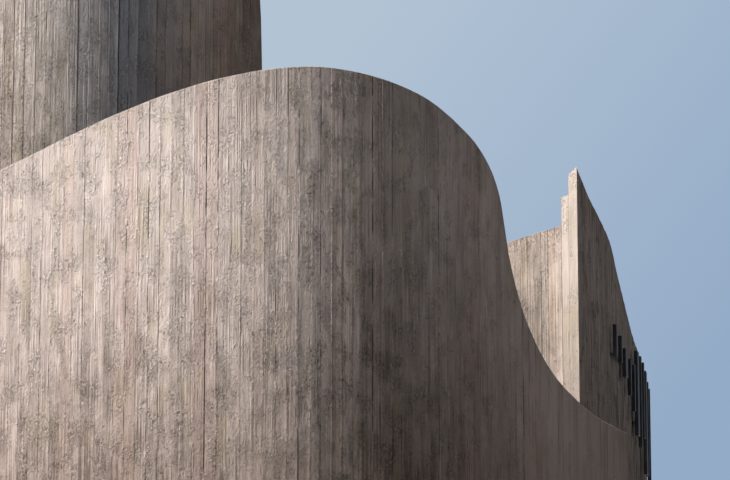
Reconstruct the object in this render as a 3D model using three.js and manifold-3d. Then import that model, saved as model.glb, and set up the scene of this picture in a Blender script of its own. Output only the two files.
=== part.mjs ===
// A modern church of board-marked concrete: two long curved sweep walls, each the other turned by half
// a turn about the middle of the plan, and two court walls that swoop up into tall sails between them.
// Millimetres, +Z up. The origin is at ground level in the middle of the plan; the street front faces -Y.
import * as THREE from "three";
import { mergeVertices } from "three/addons/utils/BufferGeometryUtils.js";
import Module from "manifold-3d";

const wasm = await Module();
wasm.setup();

// Walls: one casting thickness, faceted by the width of a formwork board
const WALL = 250;
const BOARD = 150;
const GAP = 0.3;
const TOP_FALL = 60;

// The sweep wall's outer face in plan: its start, its heading in degrees, and its arcs (turn left is plus)
const SWEEP_START = [-6480, 5600];
const SWEEP_HEADING = -109;
const SWEEP_ARCS = [
  { radius: 32000, turn: 14 },
  { radius: 9000, turn: 55 },
  { radius: 16000, turn: 22 },
  { radius: 3200, turn: 42 },
  { radius: 7000, turn: 34 },
  { radius: 9000, turn: -12 },
];

// Height of the sweep wall's outer edge at distances along it: prow, long sag, crest, steep fall, low end
const SWEEP_TOP = [
  [0, 12325],
  [750, 11995],
  [1500, 11790],
  [2250, 11550],
  [2800, 11175],
  [3400, 10865],
  [4000, 10600],
  [4600, 10430],
  [6000, 10260],
  [10000, 9700],
  [14000, 9520],
  [17500, 10030],
  [20600, 10900],
  [22300, 11505],
  [24000, 11990],
  [25200, 12140],
  [26500, 11950],
  [27400, 11500],
  [27750, 11170],
  [27950, 10820],
  [28060, 10400],
  [28150, 10030],
  [28300, 9620],
  [28500, 9245],
  [28800, 8885],
  [29200, 8580],
  [29700, 8335],
  [30300, 8110],
  [31000, 7945],
];
const SWEEP_PIECES = 6;

// The court wall's court face in plan, from the prow inwards: fold, valley, door stretch, bend, far stretch
const COURT_HEADING = 130;
const COURT_ARCS = [
  { run: 1250 },
  { radius: 1000, turn: 97 },
  { run: 4370 },
  { radius: 4000, turn: -47 },
  { radius: 17000, turn: -17 },
];
const COURT_TOP = [
  [0, 11460],
  [1500, 11330],
  [3000, 10950],
  [4400, 10700],
  [5200, 10900],
  [5700, 11550],
  [5950, 12350],
  [6040, 13000],
  [6070, 13700],
  [6100, 14480],
  [6180, 14700],
  [6500, 14920],
  [7600, 15300],
  [9400, 15500],
  [11200, 15180],
  [13000, 13700],
  [15000, 12400],
];
const COURT_JOINTS = [0, 3000, 6000, 10500];

// Raised outer half of the prow, left by a rebate along the inside of its top
const PROW_REBATE = { along: 1500, width: 112, depth: 420 };

// Doorway in the straight stretch of the court wall
const DOOR = { along: 4700, width: 2400, height: 2700, sill: 150 };
const DOOR_FRAME = { face: 70, depth: 120 };
const DOOR_LEAF = { thick: 60, meeting: 4 };
const PULL = { height: 1200, radius: 16, stand: 55, inset: 110, low: 500 };
const CANOPY = { width: 3300, reach: 1100, thick: 160, clear: 120 };

// Tall slot windows in the flank of each sweep wall
const SLOT = { stations: [6200, 7900, 9600], width: 460, height: 3600, sill: 1200 };
const SLOT_FRAME = { face: 50, depth: 90 };
const SLOT_GLASS = 26;

// Slabs, and the rooflight that washes the back of each sail
const FLOOR_TOP = 150;
const ROOF = { top: 8200, thick: 300 };
const ROOFLIGHT = { along: 7200, behind: 1500, length: 3600, width: 800, curb: 120, upstand: 260 };
const ROOFLIGHT_GLASS = 30;

// Plain stand-off fins of dark metal on the street flank: where, how long, and how they are carried
const RELIEF = { start: 2050, pitch: 420, stand: 50, depth: 60, width: 70, wide: 200, top: 10270 };
const RELIEF_LENGTHS = [500, 420, 450, 580, 740, 1360, 1480, 1240, 1700, 1560, 1800];
const RELIEF_LIFTS = [0, -110, -250, -340, -370, -90, -100, -140, -220, -330, -380];
const RELIEF_RAILS = [
  { low: 9790, from: 0 },
  { low: 9020, from: 5 },
];
const RELIEF_RAIL = { height: 50, thick: 25 };
const RELIEF_PIN = 16;

const DEGREE = Math.PI / 180;

// A plan line of straight runs and arcs, read by distance along it and offset to its left
class PlanLine {
  constructor(start, headingDegrees, pieces) {
    this.pieces = [];
    let point = new THREE.Vector2(...start);
    let heading = headingDegrees * DEGREE;
    let from = 0;
    for (const piece of pieces) {
      const curvature = piece.run ? 0 : Math.sign(piece.turn) / piece.radius;
      const length = piece.run ?? Math.abs(piece.radius * piece.turn * DEGREE);
      const made = { from, length, point, heading, curvature };
      this.pieces.push(made);
      point = this.along(made, length);
      heading += curvature * length;
      from += length;
    }
    this.length = from;
  }

  pieceAt(distance) {
    const last = this.pieces[this.pieces.length - 1];
    return this.pieces.find((p) => distance < p.from + p.length) ?? last;
  }

  along({ point, heading, curvature }, run) {
    if (curvature === 0) {
      return new THREE.Vector2(point.x + run * Math.cos(heading), point.y + run * Math.sin(heading));
    }
    const turned = heading + curvature * run;
    return new THREE.Vector2(
      point.x + (Math.sin(turned) - Math.sin(heading)) / curvature,
      point.y - (Math.cos(turned) - Math.cos(heading)) / curvature,
    );
  }

  heading(distance) {
    const piece = this.pieceAt(distance);
    return piece.heading + piece.curvature * (distance - piece.from);
  }

  at(distance, left = 0) {
    const piece = this.pieceAt(distance);
    const heading = this.heading(distance);
    const point = this.along(piece, distance - piece.from);
    return new THREE.Vector2(point.x - left * Math.sin(heading), point.y + left * Math.cos(heading));
  }
}

// A smooth curve through stations of [distance, height], with slopes taken from the neighbours
function heightThrough(stations) {
  const slope = (i) => {
    const [x0, y0] = stations[Math.max(i - 1, 0)];
    const [x1, y1] = stations[Math.min(i + 1, stations.length - 1)];
    return (y1 - y0) / (x1 - x0);
  };
  return (distance) => {
    let i = stations.findIndex(([x]) => x > distance) - 1;
    if (i < 0) i = distance < stations[0][0] ? 0 : stations.length - 2;
    const [x0, y0] = stations[i];
    const [x1, y1] = stations[i + 1];
    const span = x1 - x0;
    const t = THREE.MathUtils.clamp((distance - x0) / span, 0, 1);
    const rise = y1 - y0;
    const bend0 = slope(i) * span;
    const bend1 = slope(i + 1) * span;
    return y0 + bend0 * t + (3 * rise - 2 * bend0 - bend1) * t * t + (bend0 + bend1 - 2 * rise) * t ** 3;
  };
}

const sweep = new PlanLine(SWEEP_START, SWEEP_HEADING, SWEEP_ARCS);
const sweepHeight = heightThrough(SWEEP_TOP);
const sweepInner = (distance) => sweep.at(distance, WALL + GAP);
const opposite = (point) => point.clone().negate();

// The court wall starts at the inner corner of the other sweep wall's prow
const court = new PlanLine(opposite(sweep.at(0, WALL)).toArray(), COURT_HEADING, COURT_ARCS);
const courtHeight = heightThrough(COURT_TOP);

// Board edges between two distances, with the top edge's own stations among them
function boardEdges(from, to, length, stations) {
  const boards = Math.round(length / BOARD);
  const edges = [from, to];
  for (let i = 0; i <= boards; i += 1) edges.push((length * i) / boards);
  for (const [station] of stations) edges.push(station);
  const least = BOARD / 6;
  return edges
    .filter((edge) => edge === from || edge === to || (edge > from + least && edge < to - least))
    .sort((a, b) => a - b)
    .filter((edge, i, all) => i === 0 || edge === to || edge - all[i - 1] > least);
}

// A closed solid from rings of four corners: right foot, right top, left top, left foot
function ringSolid(rings) {
  const positions = rings.flat().flatMap((corner) => corner.toArray());
  const indices = [0, 1, 2, 0, 2, 3];
  for (let i = 0; i + 1 < rings.length; i += 1) {
    for (let k = 0; k < 4; k += 1) {
      const near = 4 * i + k;
      const nearNext = 4 * i + ((k + 1) % 4);
      indices.push(near, near + 4, nearNext + 4, near, nearNext + 4, nearNext);
    }
  }
  const end = 4 * (rings.length - 1);
  indices.push(end, end + 2, end + 1, end, end + 3, end + 2);
  const geometry = new THREE.BufferGeometry();
  geometry.setAttribute("position", new THREE.Float32BufferAttribute(positions, 3));
  geometry.setIndex(indices);
  return geometry;
}

// A wall cast between two distances of a plan line: its face on the line, its thickness to one side
function castWall(line, heightAt, edges, inward) {
  return ringSolid(
    edges.map((distance) => {
      const corner = (left, height) => {
        const point = line.at(distance, left);
        return new THREE.Vector3(point.x, point.y, height);
      };
      const outer = heightAt(distance);
      const inner = outer - TOP_FALL;
      const rightTop = inward < 0 ? inner : outer;
      const leftTop = inward < 0 ? outer : inner;
      const right = Math.min(inward, 0);
      const left = Math.max(inward, 0);
      return [corner(right, 0), corner(right, rightTop), corner(left, leftTop), corner(left, 0)];
    }),
  );
}

// A bar that follows a plan line at one height
function sweptBar(line, edges, right, left, low, high) {
  return ringSolid(
    edges.map((distance) => {
      const a = line.at(distance, right);
      const b = line.at(distance, left);
      return [
        new THREE.Vector3(a.x, a.y, low),
        new THREE.Vector3(a.x, a.y, high),
        new THREE.Vector3(b.x, b.y, high),
        new THREE.Vector3(b.x, b.y, low),
      ];
    }),
  );
}

function solid(geometry) {
  const bare = geometry.clone();
  bare.deleteAttribute("normal");
  bare.deleteAttribute("uv");
  const merged = mergeVertices(bare, 1e-3);
  return new wasm.Manifold(
    new wasm.Mesh({
      numProp: 3,
      vertProperties: new Float32Array(merged.attributes.position.array),
      triVerts: new Uint32Array(merged.index.array),
    }),
  );
}

function geometryOf(manifold) {
  const made = manifold.getMesh();
  const geometry = new THREE.BufferGeometry();
  geometry.setAttribute("position", new THREE.Float32BufferAttribute(made.vertProperties, 3));
  geometry.setIndex(Array.from(made.triVerts));
  return geometry;
}

const cut = (geometry, ...tools) =>
  geometryOf(tools.reduce((rest, tool) => rest.subtract(solid(tool)), solid(geometry)));
const join = (...parts) => geometryOf(parts.map(solid).reduce((all, part) => all.add(part)));

// A prism over a plan outline, between two heights
function prism(outline, low, high) {
  const geometry = new THREE.ExtrudeGeometry(new THREE.Shape(outline), {
    depth: high - low,
    bevelEnabled: false,
  });
  return geometry.translate(0, 0, low);
}

// A box whose middle stands on a plan line: its length runs along the line, its width across it
function boxOn(line, distance, left, low, length, width, height) {
  const middle = line.at(distance, left);
  const geometry = new THREE.BoxGeometry(length, width, height);
  geometry.rotateZ(line.heading(distance));
  return geometry.translate(middle.x, middle.y, low + height / 2);
}

// The room side of the sweep wall between two distances, used to trim what butts against its inner face
function roomSide(from, to, turned) {
  const reach = 8000;
  const edge = boardEdges(from, to, sweep.length, SWEEP_TOP).map(sweepInner);
  edge.push(sweep.at(to, WALL + reach), sweep.at(from, WALL + reach));
  return prism(turned ? edge.map(opposite) : edge, -500, 20000);
}

const keepInside = (geometry, region) => geometryOf(solid(geometry).intersect(solid(region)));

// Where two offset plan lines cross, by Newton's method from a first guess of both distances
function crossing(first, second, guess) {
  let [s, t] = guess;
  const step = 1;
  for (let round = 0; round < 12; round += 1) {
    const miss = first(s).sub(second(t));
    const ds = first(s + step).sub(first(s));
    const dt = second(t).sub(second(t + step));
    const area = ds.x * dt.y - ds.y * dt.x;
    s -= (step * (miss.x * dt.y - miss.y * dt.x)) / area;
    t -= (step * (ds.x * miss.y - ds.y * miss.x)) / area;
  }
  return [s, t];
}

const courtInner = (distance) => court.at(distance, -(WALL + GAP));
const farJoin = crossing(sweepInner, courtInner, [15000, 13900]);
const prowJoin = crossing((distance) => opposite(sweepInner(distance)), courtInner, [400, 200]);

// Half of the room's outline: along a sweep wall's inner face, then back along the court wall
function halfRoom() {
  const along = boardEdges(prowJoin[0], farJoin[0], sweep.length, SWEEP_TOP);
  const back = boardEdges(prowJoin[1], farJoin[1], court.length, COURT_TOP).reverse();
  return [...along.slice(0, -1).map(sweepInner), ...back.slice(0, -1).map(courtInner)];
}
const room = [...halfRoom(), ...halfRoom().map(opposite)];

function finish(color, roughness, metalness = 0) {
  return () => new THREE.MeshStandardMaterial({ color, roughness, metalness });
}
const concrete = finish(0x9c8b82, 0.92);
const roofing = finish(0x8b8a86, 0.95);
const screed = finish(0x8f8a84, 0.7);
const oak = finish(0x6f5136, 0.6);
const darkMetal = finish(0x20242c, 0.45, 0.7);
const clearGlass = finish(0x9fb4bd, 0.08);

function mesh(name, geometry, material) {
  const made = new THREE.Mesh(geometry, material());
  made.name = name;
  return made;
}

// Sweep wall, in castings that meet on board joints
function sweepWalls(side) {
  const boards = Math.round(sweep.length / BOARD);
  const jointAt = (i) => (sweep.length * Math.round((boards * i) / SWEEP_PIECES)) / boards;
  const pieces = [];
  for (let i = 0; i < SWEEP_PIECES; i += 1) {
    const from = i === 0 ? 0 : jointAt(i) + GAP / 2;
    const to = i === SWEEP_PIECES - 1 ? sweep.length : jointAt(i + 1) - GAP / 2;
    const edges = boardEdges(from, to, sweep.length, SWEEP_TOP);
    const tools = SLOT.stations
      .filter((station) => station > from && station < to)
      .map((station) => boxOn(sweep, station, WALL / 2, SLOT.sill, SLOT.width, 3 * WALL, SLOT.height));
    if (i === 0) tools.push(prowRebate());
    const cast = castWall(sweep, sweepHeight, edges, WALL);
    pieces.push(mesh(`${side}_sweep_wall_${i + 1}`, tools.length ? cut(cast, ...tools) : cast, concrete));
  }
  return pieces;
}

// The inner half of the prow's top is cast lower, with its floor following the top edge
function prowRebate() {
  const edges = boardEdges(-BOARD, PROW_REBATE.along, sweep.length, SWEEP_TOP);
  const right = WALL - PROW_REBATE.width;
  return ringSolid(
    edges.map((distance) => {
      const low = sweepHeight(Math.max(distance, 0)) - PROW_REBATE.depth;
      const a = sweep.at(distance, right);
      const b = sweep.at(distance, WALL + BOARD);
      return [
        new THREE.Vector3(a.x, a.y, low),
        new THREE.Vector3(a.x, a.y, low + 2000),
        new THREE.Vector3(b.x, b.y, low + 2000),
        new THREE.Vector3(b.x, b.y, low),
      ];
    }),
  );
}

// Court wall: its ends are trimmed against the inner faces of the two sweep walls
function courtWalls(side) {
  const ends = [...COURT_JOINTS, court.length];
  return COURT_JOINTS.map((joint, i) => {
    const from = i === 0 ? joint : joint + GAP / 2;
    const to = i === COURT_JOINTS.length - 1 ? court.length : ends[i + 1] - GAP / 2;
    let cast = castWall(court, courtHeight, boardEdges(from, to, court.length, COURT_TOP), -WALL);
    if (i === 0) cast = keepInside(cast, roomSide(-1000, 3000, true));
    if (i === COURT_JOINTS.length - 1) {
      cast = keepInside(cast, roomSide(12500, 17500, false));
    }
    if (DOOR.along > from && DOOR.along < to) {
      cast = cut(cast, boxOn(court, DOOR.along, -WALL / 2, DOOR.sill, DOOR.width, 3 * WALL, DOOR.height));
    }
    return mesh(`${side}_court_wall_${i + 1}`, cast, concrete);
  });
}

// A frame that lines a rectangular opening, standing upright on a plan line
function openingFrame(line, distance, left, low, width, height, face, depth) {
  const outer = boxOn(line, distance, left, low + GAP, width - 2 * GAP, depth, height - 2 * GAP);
  const inner = boxOn(line, distance, left, low + face, width - 2 * face, 2 * depth, height - 2 * face);
  return cut(outer, inner);
}

function slotWindows(side) {
  return SLOT.stations.flatMap((station, i) => {
    const { face, depth } = SLOT_FRAME;
    const frame = openingFrame(sweep, station, WALL / 2, SLOT.sill, SLOT.width, SLOT.height, face, depth);
    const inset = face + GAP;
    const glass = boxOn(
      sweep,
      station,
      WALL / 2,
      SLOT.sill + inset,
      SLOT.width - 2 * inset,
      SLOT_GLASS,
      SLOT.height - 2 * inset,
    );
    return [
      mesh(`${side}_window_frame_${i + 1}`, frame, darkMetal),
      mesh(`${side}_window_glass_${i + 1}`, glass, clearGlass),
    ];
  });
}

// One leaf of the doors with its pull bar; hand is +1 or -1 along the court wall
function doorLeaf(hand) {
  const { face } = DOOR_FRAME;
  const clear = DOOR.width / 2 - face - GAP;
  const width = clear - DOOR_LEAF.meeting / 2;
  const middle = DOOR.along + (hand * (clear + DOOR_LEAF.meeting / 2)) / 2;
  const low = DOOR.sill + face + GAP;
  const height = DOOR.height - 2 * (face + GAP);
  const leaf = boxOn(court, middle, -WALL / 2, low, width, DOOR_LEAF.thick, height);
  const pullAt = DOOR.along + hand * PULL.inset;
  const faceAt = -WALL / 2 + DOOR_LEAF.thick / 2;
  const bar = new THREE.CylinderGeometry(PULL.radius, PULL.radius, PULL.height, 12);
  bar.rotateX(Math.PI / 2);
  const at = court.at(pullAt, faceAt + PULL.stand);
  bar.translate(at.x, at.y, low + PULL.low + PULL.height / 2);
  const posts = [0.15, 0.85].map((share) =>
    boxOn(
      court,
      pullAt,
      faceAt + PULL.stand / 2 - 5,
      low + PULL.low + PULL.height * share,
      PULL.radius,
      PULL.stand + 10,
      PULL.radius,
    ),
  );
  return join(leaf, bar, ...posts);
}

function entrance(side) {
  const { face, depth } = DOOR_FRAME;
  const frame = openingFrame(court, DOOR.along, -WALL / 2, DOOR.sill, DOOR.width, DOOR.height, face, depth);
  const canopyLow = DOOR.sill + DOOR.height + CANOPY.clear;
  const canopyMiddle = CANOPY.reach / 2 + GAP;
  const canopy = boxOn(court, DOOR.along, canopyMiddle, canopyLow, CANOPY.width, CANOPY.reach, CANOPY.thick);
  return [
    mesh(`${side}_door_frame`, frame, darkMetal),
    mesh(`${side}_door_leaf_left`, doorLeaf(1), oak),
    mesh(`${side}_door_leaf_right`, doorLeaf(-1), oak),
    mesh(`${side}_door_canopy`, canopy, concrete),
  ];
}

// A box on the room side of the court wall, at the rooflight
function rooflightBox(grow, low, height) {
  const { along, behind, length, width } = ROOFLIGHT;
  return boxOn(court, along, -behind, low, length + 2 * grow, width + 2 * grow, height);
}

function slabs() {
  const curbTop = ROOF.top + ROOFLIGHT.upstand;
  const turned = (geometry) => geometry.rotateZ(Math.PI);
  const roofLow = ROOF.top - ROOF.thick;
  const curb = () => rooflightBox(ROOFLIGHT.curb, ROOF.top - 50, ROOFLIGHT.upstand + 50);
  const shaft = () => rooflightBox(0, roofLow - 100, ROOFLIGHT.upstand + ROOF.thick + 300);
  const plain = join(prism(room, roofLow, ROOF.top), curb(), turned(curb()));
  const roof = cut(plain, shaft(), turned(shaft()));
  const glass = () => rooflightBox(ROOFLIGHT.curb / 2, curbTop + GAP, ROOFLIGHT_GLASS);
  return [
    mesh("nave_floor_slab", prism(room, 0, FLOOR_TOP), screed),
    mesh("nave_roof_slab", roof, roofing),
    mesh("south_rooflight_glass", glass(), clearGlass),
    mesh("north_rooflight_glass", turned(glass()), clearGlass),
  ];
}

// Staggered upright fins on two rails, pinned off the outer face of a sweep wall
function wallRelief() {
  const middle = -(RELIEF.stand + RELIEF.depth / 2);
  const stationOf = (i) => RELIEF.start + RELIEF.pitch * i;
  const last = RELIEF_LENGTHS.length - 1;
  const parts = RELIEF_LENGTHS.map((length, i) => {
    const low = RELIEF.top + RELIEF_LIFTS[i] - length;
    const width = i % 3 === 2 ? RELIEF.wide : RELIEF.width;
    return boxOn(sweep, stationOf(i), middle, low, width, RELIEF.depth, length);
  });
  const railFront = -(RELIEF.stand + RELIEF_RAIL.thick / 2);
  const railBack = railFront + RELIEF_RAIL.thick;
  for (const { low, from } of RELIEF_RAILS) {
    const edges = [];
    for (let i = from; i <= last; i += 1) edges.push(stationOf(i));
    parts.push(sweptBar(sweep, edges, railFront, railBack, low, low + RELIEF_RAIL.height));
    for (let i = from; i <= last; i += 2) {
      const reach = -railFront - GAP;
      const pinLow = low + (RELIEF_RAIL.height - RELIEF_PIN) / 2;
      parts.push(boxOn(sweep, stationOf(i), -GAP - reach / 2, pinLow, RELIEF_PIN, reach, RELIEF_PIN));
    }
  }
  return mesh("flank_relief_fins", join(...parts), darkMetal);
}

function half(side, flank) {
  const group = new THREE.Group();
  group.add(...sweepWalls(side), ...courtWalls(side), ...slotWindows(flank), ...entrance(side));
  return group;
}

// The north half is the south half turned by half a turn about the middle of the plan
const church = new THREE.Group();
const south = half("south", "west");
const north = half("north", "east");
north.add(wallRelief());
north.rotation.z = Math.PI;
church.add(south, north, ...slabs());

export default church;
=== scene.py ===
"""Dresses a modern church: curved walls of board-marked concrete round a hollow room with open courts.

Metres, +Z up, origin at ground level in the middle of the plan, the street front faces -Y. The north half
is the south half turned by half a turn. The plan lines and the heights of the top edges repeat the driving
sizes of the construction; every other place is worked out from them.
"""
import logging
import math
from collections.abc import Callable, Sequence
from dataclasses import dataclass, field
from enum import Enum

import bpy
import numpy as np
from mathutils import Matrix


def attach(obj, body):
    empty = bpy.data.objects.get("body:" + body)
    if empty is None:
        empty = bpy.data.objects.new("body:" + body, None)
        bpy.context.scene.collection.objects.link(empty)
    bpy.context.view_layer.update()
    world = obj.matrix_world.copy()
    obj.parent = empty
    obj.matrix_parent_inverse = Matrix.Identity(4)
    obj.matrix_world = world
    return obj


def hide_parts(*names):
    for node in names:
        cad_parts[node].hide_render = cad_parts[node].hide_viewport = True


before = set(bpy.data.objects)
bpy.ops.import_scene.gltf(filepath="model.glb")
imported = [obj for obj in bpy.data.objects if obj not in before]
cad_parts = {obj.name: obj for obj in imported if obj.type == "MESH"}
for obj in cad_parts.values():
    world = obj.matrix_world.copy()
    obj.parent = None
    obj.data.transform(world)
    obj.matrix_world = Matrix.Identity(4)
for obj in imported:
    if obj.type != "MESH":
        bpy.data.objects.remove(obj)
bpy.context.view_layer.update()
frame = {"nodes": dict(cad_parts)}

LOG = logging.getLogger("church")
BODY = "root"

Object = bpy.types.Object
Span = tuple[float, float]
Triple = tuple[float, float, float]
Pairs = Sequence[Span]

# Sizes shared by several sub-assemblies: thickness of walls, width of boards, clear gap between pieces, fall
# of a wall's top towards the room, and level of the roof
WALL = 0.25
BOARD = 0.15
GAP = 0.0003
TOP_FALL = 0.06
ROOF_TOP = 8.2
# A distance within this share of a board from its edge counts as on the edge
HAIR = 1e-7
# Texture coordinates of the ends and of the room side start at these boards, so that no two faces share
# a print
END_U = 500.0
ROOM_U = 1000.0


class Side(Enum):
    """Half of the church: the value is the factor that turns the south half's plan into its own."""

    SOUTH = 1.0
    NORTH = -1.0

    @property
    def label(self) -> str:
        """The half's name as its nodes use it."""
        return self.name.lower()

    @property
    def flank(self) -> str:
        """The flank that this half's slot windows look out of."""
        return "west" if self is Side.SOUTH else "east"


class Slot(Enum):
    """Material slots of the record."""

    CONCRETE = "board_marked_concrete"
    METAL = "dark_metal"
    GLASS = "window_glass"
    OAK = "oiled_oak"
    ROOF = "roof_membrane"


class Axis(Enum):
    """Local axis that a turned profile is carried along."""

    ACROSS = 1
    UP = 2


@dataclass(frozen=True)
class Stretch:
    """One stretch of a plan line: a straight run, or an arc that turns left where its turn is plus."""

    run: float = 0.0
    radius: float = 0.0
    turn: float = 0.0

    @property
    def length(self) -> float:
        """Length along the line."""
        return self.run or abs(self.radius * math.radians(self.turn))

    @property
    def curvature(self) -> float:
        """Turning for each metre, in radians, plus to the left."""
        return 0.0 if self.run else math.copysign(1.0 / self.radius, self.turn)


class PlanLine:
    """A plan line of straight runs and arcs, read by distance along it and offset to its left."""

    def __init__(self, start: Span, heading: float, stretches: tuple[Stretch, ...]) -> None:
        """Walks the stretches once and keeps where each one starts.

        Args:
            start: first point.
            heading: first direction in degrees.
            stretches: the stretches in order.
        """
        rows = []
        x, y = start
        angle = math.radians(heading)
        distance = 0.0
        for stretch in stretches:
            curvature = stretch.curvature
            rows.append((distance, x, y, angle, curvature))
            turned = angle + curvature * stretch.length
            if curvature:
                x += (math.sin(turned) - math.sin(angle)) / curvature
                y -= (math.cos(turned) - math.cos(angle)) / curvature
            else:
                x += stretch.run * math.cos(angle)
                y += stretch.run * math.sin(angle)
            angle = turned
            distance += stretch.length
        self.rows = np.array(rows)
        self.length = distance

    def stretch_at(self, distance: np.ndarray | float) -> np.ndarray:
        """Row of the stretch that holds each distance."""
        index = np.searchsorted(self.rows[:, 0], distance, side="right") - 1
        return self.rows[np.clip(index, 0, len(self.rows) - 1)]

    def heading(self, distance: np.ndarray | float) -> np.ndarray:
        """Direction of the line in radians at each distance."""
        row = self.stretch_at(distance)
        return row[..., 3] + row[..., 4] * (distance - row[..., 0])

    def at(self, distance: np.ndarray | float, left: np.ndarray | float = 0.0) -> np.ndarray:
        """Points on an arc: centre plus radius turned by the angle walked, or straight on for a run.

        Args:
            distance: distances along the line.
            left: offsets to the left of it.

        Returns:
            Plan points, with x and y in the last axis.
        """
        distance, left = np.broadcast_arrays(np.asarray(distance, float), np.asarray(left, float))
        row = self.stretch_at(distance)
        x, y, start, curvature = (row[..., i] for i in (1, 2, 3, 4))
        run = distance - row[..., 0]
        turned = start + curvature * run
        bend = np.where(curvature == 0.0, 1.0, curvature)
        straight = curvature == 0.0
        dx = np.where(straight, run * np.cos(start), (np.sin(turned) - np.sin(start)) / bend)
        dy = np.where(straight, run * np.sin(start), (np.cos(start) - np.cos(turned)) / bend)
        return np.stack([x + dx - left * np.sin(turned), y + dy + left * np.cos(turned)], axis=-1)


class TopEdge:
    """A smooth curve through stations of distance and height, with slopes taken from the neighbours."""

    def __init__(self, stations: Pairs) -> None:
        """Keeps the stations and works out the slope at each.

        Args:
            stations: pairs of distance and height, in order of distance.
        """
        self.x, self.y = np.array(stations).T
        before = np.maximum(np.arange(len(self.x)) - 1, 0)
        after = np.minimum(np.arange(len(self.x)) + 1, len(self.x) - 1)
        self.slope = (self.y[after] - self.y[before]) / (self.x[after] - self.x[before])

    def __call__(self, distance: np.ndarray | float) -> np.ndarray:
        """Cubic Hermite curve: both ends of each span give its height and slope.

        Args:
            distance: distances along the line.

        Returns:
            Height at each distance.
        """
        i = np.clip(np.searchsorted(self.x, distance, side="right") - 1, 0, len(self.x) - 2)
        span = self.x[i + 1] - self.x[i]
        t = np.clip((distance - self.x[i]) / span, 0.0, 1.0)
        rise = self.y[i + 1] - self.y[i]
        bend0 = self.slope[i] * span
        bend1 = self.slope[i + 1] * span
        square = (3 * rise - 2 * bend0 - bend1) * t**2
        return self.y[i] + bend0 * t + square + (bend0 + bend1 - 2 * rise) * t**3


SWEEP_LINE = PlanLine(
    (-6.48, 5.6),
    -109.0,
    (
        Stretch(radius=32.0, turn=14.0),
        Stretch(radius=9.0, turn=55.0),
        Stretch(radius=16.0, turn=22.0),
        Stretch(radius=3.2, turn=42.0),
        Stretch(radius=7.0, turn=34.0),
        Stretch(radius=9.0, turn=-12.0),
    ),
)
# Prow, long sag, crest, steep fall and low end of the sweep wall's outer edge
SWEEP_TOP = TopEdge(
    (
        (0.0, 12.325), (0.75, 11.995), (1.5, 11.79), (2.25, 11.55), (2.8, 11.175), (3.4, 10.865),
        (4.0, 10.6), (4.6, 10.43), (6.0, 10.26), (10.0, 9.7), (14.0, 9.52), (17.5, 10.03),
        (20.6, 10.9), (22.3, 11.505), (24.0, 11.99), (25.2, 12.14), (26.5, 11.95), (27.4, 11.5),
        (27.75, 11.17), (27.95, 10.82), (28.06, 10.4), (28.15, 10.03), (28.3, 9.62), (28.5, 9.245),
        (28.8, 8.885), (29.2, 8.58), (29.7, 8.335), (30.3, 8.11), (31.0, 7.945),
    )
)
# The court wall starts at the inner corner of the other sweep wall's prow
COURT_LINE = PlanLine(
    tuple(-SWEEP_LINE.at(0.0, WALL)),
    130.0,
    (
        Stretch(run=1.25),
        Stretch(radius=1.0, turn=97.0),
        Stretch(run=4.37),
        Stretch(radius=4.0, turn=-47.0),
        Stretch(radius=17.0, turn=-17.0),
    ),
)
# Valley behind the prow, the steep swoop over the doors and the long crown of the sail
COURT_TOP = TopEdge(
    (
        (0.0, 11.46), (1.5, 11.33), (3.0, 10.95), (4.4, 10.7), (5.2, 10.9), (5.7, 11.55),
        (5.95, 12.35), (6.04, 13.0), (6.07, 13.7), (6.1, 14.48), (6.18, 14.7), (6.5, 14.92),
        (7.6, 15.3), (9.4, 15.5), (11.2, 15.18), (13.0, 13.7), (15.0, 12.4),
    )
)


def linear(colour: str) -> tuple[float, float, float, float]:
    """Turns an sRGB hex colour into the linear values that shaders take.

    Args:
        colour: six hex digits.

    Returns:
        Linear red, green, blue and an alpha of one.
    """
    parts = [int(colour[i : i + 2], 16) / 255.0 for i in (0, 2, 4)]
    return (*[p / 12.92 if p <= 0.04045 else ((p + 0.055) / 1.055) ** 2.4 for p in parts], 1.0)


def bell(x: np.ndarray, middle: float, reach: float) -> np.ndarray:
    """Bell curve of height one: e to the power of minus the square of the distance over the reach."""
    return np.exp(-(((x - middle) / reach) ** 2))


def way_round(profile: np.ndarray) -> np.ndarray:
    """Lengths walked round a closed profile: the running sum of its sides, from zero back to its start."""
    sides = np.linalg.norm(np.roll(profile, -1, axis=0) - profile, axis=1)
    return np.concatenate([[0.0], np.cumsum(sides)])


PlanCurve = Callable[[float], np.ndarray]


def crossing(first: PlanCurve, second: PlanCurve, guess: Span) -> Span:
    """Distances at which two plan curves cross, by Newton's method.

    Args:
        first: gives a plan point on the first curve for a distance.
        second: the same for the second curve.
        guess: first guess of both distances.

    Returns:
        Distance along the first and along the second curve.
    """
    s, t = guess
    step, rounds = 0.001, 12
    for _ in range(rounds):
        miss = first(s) - second(t)
        ds = (first(s + step) - first(s)) / step
        dt = (second(t) - second(t + step)) / step
        area = ds[0] * dt[1] - ds[1] * dt[0]
        s -= (miss[0] * dt[1] - miss[1] * dt[0]) / area
        t -= (ds[0] * miss[1] - ds[1] * miss[0]) / area
    return float(s), float(t)


def meeting(prow: bool, sweep_left: float, court_left: float) -> Span:
    """Where the two walls' plan lines, each moved to its left, meet at the prow or at the far join.

    Args:
        prow: True for the prow, where the other half's sweep wall comes in.
        sweep_left: offset of the sweep line.
        court_left: offset of the court line.

    Returns:
        Distances along the sweep line and along the court line.
    """
    half, guess = (-1.0, (0.35, 0.2)) if prow else (1.0, (14.8, 14.5))
    return crossing(
        lambda s: half * SWEEP_LINE.at(s, sweep_left), lambda t: COURT_LINE.at(t, court_left), guess
    )


Socket = bpy.types.NodeSocket
Value = Socket | float


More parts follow.
